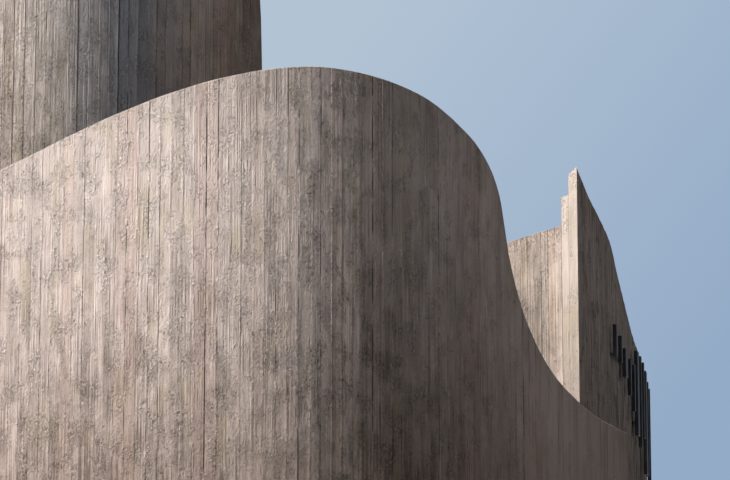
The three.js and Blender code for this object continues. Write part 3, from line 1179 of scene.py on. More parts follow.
@dataclass
class BoardedWall:
    """A wall cast against upright boards, each a facet with its own depth, tilt, cupping, tone and ribs.

    Depth, tilt and cup hold the spread and the limit that each board's own value is drawn with. Room is plus
    one where the room lies to the left of the line, and minus one where it lies to the right.
    """

    line: PlanLine
    top: TopEdge
    room: float
    seed: int
    side: Side
    kind: str
    finishes: tuple[Finish, Finish, Finish]
    look: BoardLook
    row_pitch: float = 0.3
    inner_rows: int = 14
    face_inset: float = 0.0045
    depth: Span = (0.0012, 0.0025)
    tilt: Span = (0.003, 0.0045)
    cup: Span = (0.0012, 0.002)
    bow: float = 0.0007
    bow_pitch: float = 1.1
    rib: float = 0.0006
    rib_pitch: float = 0.9
    groove: float = 0.003
    groove_shares: Span = (-0.8, 1.0)
    groove_swing: float = 0.35
    groove_pitches: Span = (2.1, 5.3)
    joint_share: float = 0.01
    limits: Span = (-0.0043, 0.006)
    arris: float = 0.009
    bevel: float = 1.2
    rebate_step: float = 0.0005
    end_joint: float = 0.138
    column_gap: float = 0.005
    row_gap: float = 0.04
    top_band: float = 0.35
    fractions: tuple[float, ...] = (0.0, 0.045, 0.19, 0.345, 0.5, 0.655, 0.81, 0.955)
    made: list[Object] = field(default_factory=list)

    def __post_init__(self) -> None:
        """Draws what each board and joint has of its own."""
        self.count = round(self.line.length / BOARD)
        self.pitch = self.line.length / self.count
        draw = np.random.default_rng(self.seed)
        self.depths, self.tilts, self.cups = (
            draw.normal(0.0, spread, self.count).clip(-limit, limit)
            for spread, limit in (self.depth, self.tilt, self.cup)
        )
        self.tone = draw.uniform(0.0, 1.0, self.count)
        self.tint = draw.uniform(0.0, 1.0, self.count)
        stations = np.arange(self.count) * self.pitch
        # Painted sky light: boards round its station get tints above one, which the finish turns blue-grey
        bloom = bell(stations, *self.look.bloom)
        self.tint = np.where(bloom > 0.05, 1.0 + bloom * (0.7 + 0.3 * self.tint), self.tint)
        # Tone shifts: partly painted light and shade, partly the boards' own tone
        for station, reach, amount in self.look.washes:
            self.tone += amount * bell(stations, station, reach)
        station, reach, amount = self.look.calm
        self.contrast = 1.0 - amount * ((stations - station) / reach).clip(0.0, 1.0)
        # Round this station the colour contrast is raised to stand in for relief lit by raking light, so it
        # is partly painted light and shade; the bump is raised with it
        station, reach, amount = self.look.torn
        self.contrast += amount * bell(stations, station, reach)
        self.ribs = draw.normal(0.0, self.rib, (self.count, len(self.fractions)))
        self.joint_depth = draw.uniform(*self.groove_shares, self.count + 1)
        self.phase = draw.uniform(0.0, 2 * math.pi, (self.count + 1, 3))

    def board_at(self, distance: np.ndarray) -> tuple[np.ndarray, np.ndarray]:
        """Finds the board at each distance.

        Args:
            distance: distances along the line.

        Returns:
            Number of the board, and the share of its width from its first edge.
        """
        place = distance / self.pitch
        board = np.clip(np.floor(place + HAIR).astype(int), 0, self.count - 1)
        return board, place - board

    def place(self, distance: np.ndarray, into: np.ndarray) -> np.ndarray:
        """Points on flat boards: the chord between the two edges of the board, at one depth into the wall.

        Args:
            distance: distances along the line.
            into: depths from the face on the line towards the room side.

        Returns:
            Plan points with x and y in the last axis.
        """
        board, share = self.board_at(distance)
        near = self.line.at(board * self.pitch, self.room * into)
        far = self.line.at((board + 1) * self.pitch, self.room * into)
        return (near + share[..., None] * (far - near)) * self.side.value

    def columns(self, start: float, stop: float, extra: list[float]) -> np.ndarray:
        """Distances of the upright grid lines: board joints, lines on each board, and some extra ones.

        Args:
            start: first distance.
            stop: last distance.
            extra: further distances, such as the sides of openings.

        Returns:
            Sorted distances.
        """
        boards = np.arange(math.floor(start / self.pitch + HAIR), math.ceil(stop / self.pitch - HAIR))
        regular = ((boards[:, None] + np.array(self.fractions)) * self.pitch).ravel()
        fixed = np.array([start, stop, *extra])
        gap = np.abs(regular[:, None] - fixed).min(axis=1)
        inside = (regular > start) & (regular < stop) & (gap > self.column_gap)
        return np.sort(np.concatenate([regular[inside], fixed]))

    def relief(self, distance: np.ndarray, height: np.ndarray) -> np.ndarray:
        """Depth of the struck face: each board's depth, tilt, cupping, bow and ribs, and its joints' grooves.

        Depth plus tilt times the share from the middle, plus cupping times its square, plus a bow and ribs
        that swing with the height as sines; a joint's groove or fin swings as the product of two sines.

        Args:
            distance: distances along the line, one a column.
            height: heights, columns by rows.

        Returns:
            Depths from the line into the wall, columns by rows.
        """
        board, share = self.board_at(distance)
        share = share.clip(0.0, 1.0)
        middle = share - 0.5
        flat = self.depths[board] + self.tilts[board] * middle + self.cups[board] * (4 * middle**2 - 0.5)
        phase = self.phase[board]
        rib = self.ribs[board, np.abs(share[:, None] - np.array(self.fractions)).argmin(axis=1)]
        swing = self.bow * np.sin(height * self.bow_pitch + phase[:, :1])
        flat = flat[:, None] + swing + rib[:, None] * np.cos(height * self.rib_pitch + phase[:, 2:])
        at_next = share > 1.0 - self.joint_share
        at_joint = (share < self.joint_share) | at_next
        joint = np.where(at_next, board + 1, board)
        first, second = (
            np.sin(height * pitch + self.phase[joint][:, i : i + 1])
            for i, pitch in enumerate(self.groove_pitches)
        )
        groove = self.groove * (self.joint_depth[joint][:, None] + self.groove_swing * first * second)
        return self.face_inset + np.where(at_joint[:, None], groove, flat).clip(*self.limits)

    def rows(self, distance: np.ndarray, openings: Openings) -> np.ndarray:
        """Heights of the outer face's grid: even rows, the openings' edges, then rows stretched to the top.

        Args:
            distance: distances along the line, one a column.
            openings: the openings in this casting.

        Returns:
            Heights, columns by rows.
        """
        tops = self.top(distance)
        level = math.floor((tops.min() - self.top_band) / self.row_pitch) * self.row_pitch
        even = np.arange(0.0, level + 1e-6, self.row_pitch)
        edges = np.array([h for o in openings for h in o.levels])
        if len(edges):
            even = even[np.abs(even[:, None] - edges).min(axis=1) > self.row_gap]
            even = np.unique(np.concatenate([[0.0], even, edges, [level]]))
        count = math.ceil((tops.max() - level) / self.row_pitch)
        share = np.arange(1, count + 1) / count
        upper = level + share * (tops - self.arris - level)[:, None]
        return np.concatenate([np.broadcast_to(even, (len(distance), len(even))), upper], axis=1)

    def crown(self, distance: np.ndarray, rebate: float) -> tuple[np.ndarray, np.ndarray]:
        """Profile of the top from the outer to the inner arris, as depth into the wall and drop.

        The top falls evenly towards the room; along the rebate its outer leaf slopes down and the inner
        leaf lies a step lower. Sines along the wall leave the trowelled top uneven by a millimetre or two.

        Args:
            distance: distances along the line, one a column.
            rebate: how far along the line the rebate runs.

        Returns:
            Depths and drops, columns by points.
        """
        plain_into = np.array([0.013, 0.07, 0.13, 0.185, 0.238])
        plain_drop = TOP_FALL * plain_into / WALL
        step_into = np.array([0.01, 0.07, 0.128, 0.1395, 0.236])
        step_drop = np.array([0.0, 0.048, 0.1, 0.42, 0.44])
        stepped = (distance < rebate)[:, None]
        into = np.where(stepped, step_into, plain_into)
        drop = np.where(stepped, step_drop, plain_drop)
        pitches = np.array([9.0, 14.0, 11.0, 17.0, 8.0])
        least, swing = 0.0015, 0.0013
        return into, drop + least + swing * np.sin(distance[:, None] * pitches + np.arange(5.0))

    def inner_rows_with(self, heights: np.ndarray, openings: Openings) -> np.ndarray:
        """Moves the room face's nearest rows to the openings' edges.

        Args:
            heights: heights from the top down to the foot, columns by rows.
            openings: the openings in this casting.

        Returns:
            The heights with those edges in them.
        """
        made = heights.copy()
        for level in sorted({h for o in openings for h in o.levels}):
            made[:, np.abs(heights - level).max(axis=0).argmin()] = level
        return made

    def casting(
        self, number: int, start: float, stop: float, openings: Openings, rebate: float, shear: Span
    ) -> None:
        """One casting of the wall between two distances, as one closed ring surface with its ends capped.

        Args:
            number: number in the node's name.
            start: first distance.
            stop: last distance.
            openings: openings cut through it.
            rebate: length of the lowered inner leaf from the line's start.
            shear: how far the room side's first and last line lies beyond the face's, along the line; it
                dies out over the bevel.
        """
        extra = [o.station + end for o in openings for end in o.span]
        if rebate:
            extra += [rebate - self.rebate_step, rebate + self.rebate_step]
        distance = self.columns(start, stop, extra)
        top = self.top(distance)
        outer_z = self.rows(distance, openings)
        crown_into, drop = self.crown(distance, rebate)
        crown_z = top[:, None] - drop
        share = np.linspace(1.0, 0.0, self.inner_rows)
        inner_z = self.inner_rows_with((crown_z[:, -1:] - self.arris) * share, openings)
        outer, inner = self.relief(distance, outer_z), WALL - self.relief(distance, inner_z)
        into = np.concatenate([outer, crown_into, inner], axis=1)
        z = np.concatenate([outer_z, crown_z, inner_z], axis=1)

        lead = shear[0] * (1.0 - (distance - start) / self.bevel).clip(0.0, 1.0)
        trail = shear[1] * (1.0 - (stop - distance) / self.bevel).clip(0.0, 1.0)
        plan = self.place(distance[:, None] + (lead + trail)[:, None] * into / WALL, into)
        for o in openings:
            for end in o.span:
                column = int(np.abs(distance - (o.station + end)).argmin())
                jamb = Place(self.line, o.station, self.side).out(end, self.room * into[column], 0.0)
                plan[column] = jamb[:, :2]
        points = np.concatenate([plan, z[..., None]], axis=2)
        below = np.maximum(top[:, None] - z, 0.0)
        crown = slice(outer_z.shape[1], outer_z.shape[1] + crown_z.shape[1])
        below[:, crown] = 0.0
        shell = self.ring(Grid(points, distance, into, below, crown), openings)
        name = f"{self.side.label}_{self.kind}_wall_{number}"
        self.made.append(stand_in(shell, name, "cast", Slot.CONCRETE, *self.finishes))

    def ring(self, grid: Grid, openings: Openings) -> Shell:
        """Closes the grid into a shell: faces between columns, caps at both ends, linings in the openings.

        Args:
            grid: the casting's points.
            openings: openings cut through the casting.

        Returns:
            The closed shell.
        """
        distance, crown, size = grid.distance, grid.crown, grid.into.shape[1]
        shell = Shell()
        numbers = shell.solid(grid.points)
        after = np.roll(numbers, -1, axis=1)
        quads = np.stack([numbers[:-1], numbers[1:], after[1:], after[:-1]], axis=-1)
        room_side = np.arange(size) >= crown.stop
        u = distance[:, None] / self.pitch + np.where(room_side, ROOM_U, 0.0)
        uv = np.stack([u, grid.points[..., 2]], axis=-1).reshape(-1, 2)
        middle = (distance[1:] + distance[:-1]) / 2
        kept = np.ones(quads.shape[:2], dtype=bool)
        for o in openings:
            across = np.nonzero(np.abs(middle - o.station) < o.width / 2)[0]
            sill, head = (grid.nearest(level) for level in o.levels)
            kept[np.ix_(across, np.arange(sill[0], head[0]))] = False
            kept[np.ix_(across, np.arange(head[1], sill[1]))] = False
            self.line_opening(shell, numbers, grid, across, sill, head)
        board = self.board_at(middle)[0]
        tones = np.ones((*quads.shape, 4))
        for channel, values in ((0, self.tone), (1, self.tint), (3, self.contrast)):
            tones[..., channel] = values[board][:, None, None]
        tones[..., 2] = grid.below.ravel()[quads]
        on_top = (np.arange(size) >= crown.start - 1) & (np.arange(size) < crown.stop)
        for wanted, finish in ((~on_top, 0), (on_top, 1)):
            mask = kept & wanted[None, :]
            shell.add(quads[mask], uv[quads[mask]], finish, tones[mask])
        for column, turn in ((0, -1), (len(distance) - 1, 1)):
            face = numbers[column][None, ::turn]
            u = END_U + (self.end_joint - grid.depths(face)) / self.pitch
            shell.add(face, grid.corners(face, u), 2, END_TONE)
        return shell

    def line_opening(
        self,
        shell: Shell,
        numbers: np.ndarray,
        grid: Grid,
        across: np.ndarray,
        sill: list[int],
        head: list[int],
    ) -> None:
        """Lines an opening: two upright sides as one face each, and sill and head a face between columns.

        Args:
            shell: the shell that takes the faces.
            numbers: point numbers, columns by ring points.
            grid: the casting's points.
            across: the opening's strips between columns.
            sill: ring points of the sill on the outer and on the room face.
            head: the same of the head.
        """
        first, last = across[0], across[-1] + 1
        rows = []
        for column, turn in ((first, 1), (last, -1)):
            outer = numbers[column, sill[0] : head[0] + 1]
            inner = numbers[column, head[1] : sill[1] + 1]
            rows.append(np.concatenate([outer, inner])[None, ::turn])
        for points, turn in ((sill, -1), (head, 1)):
            near, far = numbers[first:last], numbers[first + 1 : last + 1]
            corners = (near[:, points[0]], far[:, points[0]], far[:, points[1]], near[:, points[1]])
            rows.append(np.stack(corners, axis=-1)[:, ::turn])
        for face in rows:
            shell.add(face, grid.corners(face, END_U + grid.depths(face) / self.pitch))


@dataclass
class Walls:
    """The twelve castings of the two sweep walls and the eight of the two court walls."""

    slots: Openings
    door: Opening
    sweep_pieces: int = 6
    court_joints: tuple[float, ...] = (0.0005, 3.0, 6.0, 10.5)
    rebate: float = 1.5
    sweep_seed: int = 11
    court_seed: int = 23
    # On the sweep wall the first three tone shifts are painted light and shade: they brighten the boards
    # before and at the terminator and darken those just past it, so that the fall from lit to shaded boards
    # follows the light. The last one makes the boards of the low end paler. The raised contrast round station
    # 24.95 stands in for relief lit by raking light.
    sweep_look: BoardLook = BoardLook(
        washes=((24.0, 0.9, 1.2), (25.0, 0.4, 1.0), (25.9, 0.4, -0.8), (31.0, 2.0, 7.0)),
        calm=(25.6, 3.3, 0.55),
        torn=(24.95, 0.42, 0.8),
    )
    # On the court wall the shift round station 6.2 darkens the shaded side of the sail next to its edge as
    # painted shade, and the one round station 1.0 darkens the boards behind the prow. The blue-grey round
    # station 8.5 is painted sky light on the sail's half-shaded boards.
    court_look: BoardLook = BoardLook(
        bloom=(8.5, 0.9),
        washes=((1.0, 2.0, -0.9), (6.2, 1.2, -4.2)),
        calm=(8.8, -1.6, 0.35),
    )

    def build(self) -> list[Object]:
        """Casts every wall piece between the same board joints as the construction.

        Returns:
            The castings.
        """
        inside = WALL + GAP
        prow = meeting(True, inside, -WALL)[1]
        far, far_inside = (meeting(False, inside, left)[1] for left in (0.0, -WALL))
        made = []
        for number, side in enumerate(Side):
            # The north half takes the darker copy, whose colours are painted shade
            face = SWEEP_CONCRETE if side is Side.SOUTH else SHADE_DARKENED_CONCRETE
            finishes = (face, TrowelledConcrete(), END_CONCRETE)
            seed = self.sweep_seed + number
            sweep = BoardedWall(SWEEP_LINE, SWEEP_TOP, 1.0, seed, side, "sweep", finishes, self.sweep_look)
            steps = np.floor(sweep.count * np.arange(self.sweep_pieces + 1) / self.sweep_pieces + 0.5)
            made += self.cast(sweep, steps * sweep.pitch, self.slots, self.rebate)
            finishes = (COURT_CONCRETE, TrowelledConcrete(), COURT_CONCRETE)
            seed = self.court_seed + number
            court = BoardedWall(COURT_LINE, COURT_TOP, -1.0, seed, side, "court", finishes, self.court_look)
            shear = (prow, far_inside - far)
            made += self.cast(court, [*self.court_joints, far], (self.door,), shear=shear)
        return made

    def cast(
        self,
        wall: BoardedWall,
        ends: Sequence[float],
        openings: Openings,
        rebate: float = 0.0,
        shear: Span = (0.0, 0.0),
    ) -> list[Object]:
        """Casts one wall piece by piece, a hair apart; the second piece has the openings.

        Args:
            wall: the wall.
            ends: distances of both ends and of the joints between them.
            openings: openings through the second piece.
            rebate: length of the first piece's lowered inner leaf.
            shear: how far the room side reaches beyond the face at both ends of the wall.

        Returns:
            The castings.
        """
        last = len(ends) - 2
        for i in range(last + 1):
            start = ends[i] + (GAP / 2 if i else 0.0)
            stop = ends[i + 1] - (GAP / 2 if i < last else 0.0)
            sheared = (0.0 if i else shear[0], shear[1] if i == last else 0.0)
            wall.casting(i + 1, start, stop, openings if i == 1 else (), 0.0 if i else rebate, sheared)
        return wall.made


@dataclass
class Doorway:
    """Steel frame, two leaves of upright oak boards with long pulls, and a concrete canopy over them."""

    opening: Opening
    side: Side
    frame_face: float = 0.07
    frame_depth: float = 0.12
    thick: float = 0.06
    meeting: float = 0.004
    boards: int = 9
    pull_height: float = 1.2
    pull_radius: float = 0.016
    pull_stand: float = 0.055
    pull_inset: float = 0.11
    pull_low: float = 0.5
    canopy_width: float = 3.3
    canopy_reach: float = 1.1
    canopy_thick: float = 0.16
    canopy_clear: float = 0.12
    middle: float = -WALL / 2
    vee: float = 0.004
    stop: float = 0.012
    screw: Pairs = ((0.0, 0.011), (0.0025, 0.011), (0.0045, 0.007))
    screw_rows: int = 5
    rose: Pairs = (
        (0.0, 0.027), (0.006, 0.027), (0.008, 0.024), (0.008, 0.011), (0.014, 0.011), (0.015, 0.009),
    )
    rose_rise: float = 0.42
    post_shares: tuple[float, ...] = (0.15, 0.85)
    barrel: Pairs = (
        (0.0, 0.006), (0.004, 0.009), (0.056, 0.009), (0.0575, 0.0075), (0.059, 0.009), (0.116, 0.009),
        (0.12, 0.006),
    )
    hinge_shares: tuple[float, ...] = (0.1, 0.5, 0.9)

    def __post_init__(self) -> None:
        """Finds the doorway's place on the court wall."""
        self.place = Place(COURT_LINE, self.opening.station, self.side)

    def build(self) -> list[Object]:
        """Makes the frame, both leaves and the canopy, and gives them dressed."""
        return [self.frame(), self.leaf("left", 1.0), self.leaf("right", -1.0), self.canopy()]

    def frame(self) -> Object:
        """Frame with a 12 mm stop behind the leaves, carried round the opening, and its fixing screws.

        Returns:
            The dressed frame.
        """
        front, back = self.middle + self.frame_depth / 2, self.middle - self.frame_depth / 2
        face, soft = self.frame_face, 0.004
        stop, lip = self.middle - self.thick / 2 - 0.002, face + self.stop
        profile = [
            (GAP + soft, front), (face - soft, front), (face, front - soft), (face, stop), (lip, stop),
            (lip, stop - 0.02), (face, stop - 0.02), (face, back + soft), (face - soft, back),
            (GAP + soft, back), (GAP, back + soft), (GAP, front - soft),
        ]
        low, high = self.opening.levels
        shell = Shell()
        shell.loft(self.place.framed(self.opening.span, (low, high), profile), closed=True)
        for x in (self.opening.span[0] + face / 2, self.opening.span[1] - face / 2):
            for z in np.linspace(low + 0.2, high - 0.2, self.screw_rows):
                shell.loft(self.place.turned((x, front - 0.001, z), Axis.ACROSS, self.screw, 12))
        return stand_in(shell, f"{self.side.label}_door_frame", "steel", Slot.METAL, CoatedSteel())

    def leaf(self, label: str, hand: float) -> Object:
        """Leaf of upright boards with V joints on both faces, its pull, lock rose and three hinge barrels.

        Args:
            label: which leaf.
            hand: plus one or minus one along the court wall.

        Returns:
            The dressed leaf.
        """
        near, far = self.meeting / 2, self.opening.width / 2 - self.frame_face - GAP
        low = self.opening.low + self.frame_face + GAP
        high = self.opening.levels[1] - self.frame_face - GAP
        front, back = self.middle + self.thick / 2, self.middle - self.thick / 2
        board = (far - near) / self.boards
        joints = near + board * np.arange(1, self.boards)
        x = np.concatenate([[near], (joints[:, None] + self.vee * np.array([-1.0, 0.0, 1.0])).ravel(), [far]])
        dips = np.concatenate([[0.0], np.tile([0.0, self.vee, 0.0], self.boards - 1), [0.0]])
        y = np.concatenate([front - dips, (back + dips)[::-1]])
        x = np.concatenate([x, x[::-1]])
        u = np.concatenate([x, x[:1]]) - near
        soft = 0.003
        inset = np.array([soft, 0.0, 0.0, soft])[:, None]
        heights = np.array([low, low + soft, high - soft, high])[:, None]
        shell = Shell()
        shell.loft(self.place.out(hand * x, y + np.sign(self.middle - y) * inset, heights), 0, u=u)

        grip, radius = hand * self.pull_inset, self.pull_radius
        foot = low + self.pull_low
        dome = [(0.0, radius * 0.5), (0.003, radius * 0.85), (0.008, radius)]
        rod = dome + [(self.pull_height - d, r) for d, r in reversed(dome)]
        shell.loft(self.place.turned((grip, front + self.pull_stand, foot), Axis.UP, rod), 1)
        flange = [(0.0, 0.026), (0.003, 0.026), (0.005, 0.023), (0.0052, 0.009), (self.pull_stand, 0.009)]
        for share in self.post_shares:
            post = (grip, front, foot + self.pull_height * share)
            shell.loft(self.place.turned(post, Axis.ACROSS, flange), 1)
        shell.loft(self.place.turned((grip, front, foot + self.rose_rise), Axis.ACROSS, self.rose), 1)
        for share in self.hinge_shares:
            hinge = (hand * (far - 0.012), front + 0.01, low + (high - low) * share - self.barrel[-1][0] / 2)
            shell.loft(self.place.turned(hinge, Axis.UP, self.barrel, 16), 1)
        name = f"{self.side.label}_door_leaf_{label}"
        return stand_in(shell, name, "boards", Slot.OAK, OiledOak(board=board), CoatedSteel())

    def canopy(self) -> Object:
        """Canopy slab: a profile with chamfers and a drip groove, carried along the wall board by board.

        Returns:
            The dressed canopy.
        """
        low = self.opening.levels[1] + self.canopy_clear
        high = low + self.canopy_thick
        near, far, soft = GAP, GAP + self.canopy_reach, 0.012
        drip = far - 0.06
        profile = np.array([
            (near, low), (drip - 0.02, low), (drip - 0.014, low + 0.012), (drip, low + 0.012),
            (drip + 0.006, low), (far - soft, low), (far, low + soft), (far, high - soft - 0.01),
            (far - soft, high - 0.01), (far - 0.1, high - 0.004), (near, high),
        ])
        boards = round(self.canopy_width / BOARD)
        draw = np.random.default_rng(7)
        edges = np.linspace(-self.canopy_width / 2, self.canopy_width / 2, boards + 1)
        x = np.repeat(edges, 2)[1:-1] + np.tile([0.003, -0.003], boards)
        depth = np.repeat(draw.uniform(0.0005, 0.003, boards), 2)
        x = np.concatenate([[edges[0]], x, [edges[-1]]])
        depth = np.concatenate([[soft], depth, [soft]])
        y = profile[:, 0] - depth[:, None] * (profile[:, 0] > near)
        z = profile[:, 1] - depth[:, None] * np.sign(profile[:, 1] - (low + high) / 2)
        shell = Shell()
        shell.loft(self.place.out(x[:, None], y, z), 0, u=way_round(profile) / BOARD)
        return stand_in(shell, f"{self.side.label}_door_canopy", "cast", Slot.CONCRETE, COURT_CONCRETE)


@dataclass
class SlotWindow:
    """A tall slot window: steel frame with glazing beads and a sealed unit of two panes."""

    opening: Opening
    side: Side
    number: int
    face: float = 0.05
    depth: float = 0.09
    unit: float = 0.026
    pane: float = 0.006

    def __post_init__(self) -> None:
        """Finds the window's place on the sweep wall."""
        self.place = Place(SWEEP_LINE, self.opening.station, self.side)

    def build(self) -> list[Object]:
        """Makes the frame and the glass, and gives them dressed."""
        return [self.frame(), self.glass()]

    def frame(self) -> Object:
        """Frame profile with a bead on either side of the glass, carried round the opening.

        Returns:
            The dressed frame.
        """
        half, soft = self.depth / 2, 0.003
        bead = self.unit / 2 + 0.001
        face, lip = self.face, self.face + 0.014
        side = [
            (GAP, half - soft), (GAP + soft, half), (face - soft, half), (face, half - soft),
            (face, bead + 0.016), (lip - 0.004, bead + 0.012), (lip, bead), (face, bead),
        ]
        profile = [(inset, WALL / 2 - y) for inset, y in side]
        profile += [(inset, WALL / 2 + y) for inset, y in reversed(side)]
        shell = Shell()
        shell.loft(self.place.framed(self.opening.span, self.opening.levels, profile), closed=True)
        name = f"{self.side.flank}_window_frame_{self.number}"
        return stand_in(shell, name, "steel", Slot.METAL, CoatedSteel())

    def glass(self) -> Object:
        """Two panes with ground edges and the spacer bar between them.

        Returns:
            The dressed glass.
        """
        inset = self.face + GAP
        x = (self.opening.span[0] + inset, self.opening.span[1] - inset)
        z = (self.opening.levels[0] + inset, self.opening.levels[1] - inset)
        near, far = WALL / 2 - self.unit / 2, WALL / 2 + self.unit / 2
        shell = Shell()
        for y in ((near, near + self.pane), (far - self.pane, far)):
            shell.loft(self.place.bar(x, y, z, 0.0012), 0)
        gap = (near + self.pane + 0.0002, far - self.pane - 0.0002)
        spacer = [(0.001, gap[0]), (0.012, gap[0]), (0.012, gap[1]), (0.001, gap[1])]
        shell.loft(self.place.framed(x, z, spacer), 1, closed=True)
        name = f"{self.side.flank}_window_glass_{self.number}"
        return stand_in(shell, name, "unit", Slot.GLASS, FloatGlass(), CoatedSteel())


@dataclass
class Rooflight:
    """A flat rooflight on its curb: a capped frame, glazing bars and a pane in each bay.

    The frame's profile gives insets from the curb's edge and heights above it.
    """

    side: Side
    station: float = 7.2
    behind: float = 1.5
    length: float = 3.6
    width: float = 0.8
    curb: float = 0.12
    upstand: float = 0.26
    bays: int = 4
    bar: float = 0.05
    play: float = 0.001
    frame: float = 0.07
    profile: Pairs = (
        (0.003, 0.0), (0.07, 0.0), (0.07, 0.026), (0.062, 0.034), (0.012, 0.034), (0.0, 0.026), (0.0, 0.003),
    )

    def build(self) -> list[Object]:
        """Frame profile laid round the curb, bars between the bays, and panes with ground edges.

        Returns:
            The dressed rooflight.
        """
        place = Place(COURT_LINE, self.station, self.side)
        low = ROOF_TOP + self.upstand + GAP
        reach = self.curb / 2
        x = (-self.length / 2 - reach, self.length / 2 + reach)
        y = (-self.behind - self.width / 2 - reach, -self.behind + self.width / 2 + reach)
        profile = [(inset, low + rise) for inset, rise in self.profile]
        shell = Shell()
        shell.loft(place.framed(x, y, profile, flat=True), 1, closed=True)
        inset, half, play = self.frame + self.play, self.bar / 2, self.play
        inner_x, inner_y = (x[0] + inset, x[1] - inset), (y[0] + inset, y[1] - inset)
        edges = np.linspace(*inner_x, self.bays + 1)
        for edge in edges[1:-1]:
            shell.loft(place.bar((edge - half, edge + half), inner_y, (low, low + 0.032), 0.004), 1)
        for start, stop in zip(edges[:-1], edges[1:]):
            start += half + play if start > edges[0] else 0.0
            stop -= half + play if stop < edges[-1] else 0.0
            shell.loft(place.bar((start, stop), inner_y, (low + 0.004, low + 0.024), 0.0015), 0)
        name = f"{self.side.label}_rooflight_glass"
        return [stand_in(shell, name, "glazed", Slot.GLASS, FloatGlass(), CoatedSteel())]


@dataclass
class Slabs:
    """Floor and roof slabs, and the felt upstands, clamping bars and outlets that finish the roof's edge."""

    steps: int = 120
    outlets: Pairs = ((11.0, 0.7), (4.0, 0.7))
    felt: Pairs = (
        (0.0005, 0.0005), (0.0005, 0.2), (0.005, 0.2), (0.006, 0.06), (0.05, 0.008), (0.18, 0.004),
        (0.18, 0.0005),
    )
    clamp: Pairs = ((0.0052, 0.165), (0.0052, 0.195), (0.009, 0.193), (0.009, 0.167))
    flange: Pairs = ((0.0005, 0.18), (0.008, 0.178), (0.01, 0.13), (0.014, 0.11), (0.02, 0.1))
    cap: Pairs = ((0.1, 0.075), (0.108, 0.07), (0.12, 0.045), (0.124, 0.012))
    ribs: int = 12
    rib_circle: float = 0.07
    rib_half: float = 0.004

    def build(self) -> list[Object]:
        """Dresses both slabs and makes the roof's edge.

        Returns:
            The slabs and the new pieces.
        """
        made = [dressed("nave_floor_slab", GroundConcrete()), dressed("nave_roof_slab", MineralFelt())]
        for side in Side:
            made.append(self.upstand(side))
            made.append(self.outlet_guards(side))
        return made

    def edge_runs(self, profile: Pairs, side: Side) -> list[np.ndarray]:
        """Carries a profile of inset and height along both walls of a half, mitred where they meet.

        Each profile point runs evenly between its own two crossings, so the ends lie on the mitre.

        Args:
            profile: pairs of inset and height above the roof.
            side: the half.

        Returns:
            Rings for two lofts.
        """
        inset, height = np.array(profile).T
        off = WALL + GAP + inset
        ends = np.array([[meeting(prow, o, -o) for prow in (True, False)] for o in off])
        share = np.linspace(0.0, 1.0, self.steps)[:, None]
        runs = []
        for line, column, factor in ((SWEEP_LINE, 0, 1.0), (COURT_LINE, 1, -1.0)):
            distance = ends[:, 0, column] + share * (ends[:, 1, column] - ends[:, 0, column])
            plan = line.at(distance, factor * off) * side.value
            z = np.broadcast_to(ROOF_TOP + height, distance.shape)
            runs.append(np.concatenate([plan, z[..., None]], axis=2))
        return runs

    def upstand(self, side: Side) -> Object:
        """Felt turned up the walls over a fillet, with a steel clamping bar along its top.

        Args:
            side: the half whose walls it follows.

        Returns:
            The dressed upstand.
        """
        shell = Shell()
        for finish, profile in enumerate((self.felt, self.clamp)):
            for rings in self.edge_runs(profile, side):
                shell.loft(rings, finish)
        piece = shell.piece(f"{side.label}_roof_upstand", (MineralFelt(), CoatedSteel()))
        return finished(piece, Slot.ROOF)

    def outlet_guards(self, side: Side) -> Object:
        """Domed leaf guards over the rainwater outlets, a turned flange with twelve upright bars each.

        Args:
            side: the half they drain.

        Returns:
            The dressed guards.
        """
        shell = Shell()
        for station, inset in self.outlets:
            place = Place(SWEEP_LINE, station, side)
            left = WALL + inset
            for form in (self.flange, self.cap):
                shell.loft(place.turned((0.0, left, ROOF_TOP), Axis.UP, form))
            half, z = self.rib_half, (ROOF_TOP + 0.019, ROOF_TOP + 0.101)
            for turn in np.linspace(0.0, 2 * math.pi, self.ribs, endpoint=False):
                x, y = self.rib_circle * math.cos(turn), left + self.rib_circle * math.sin(turn)
                shell.loft(place.bar((x - half, x + half), (y - half, y + half), z, 0.001))
        return finished(shell.piece(f"{side.label}_outlet_guards", (CoatedSteel(),)), Slot.METAL)


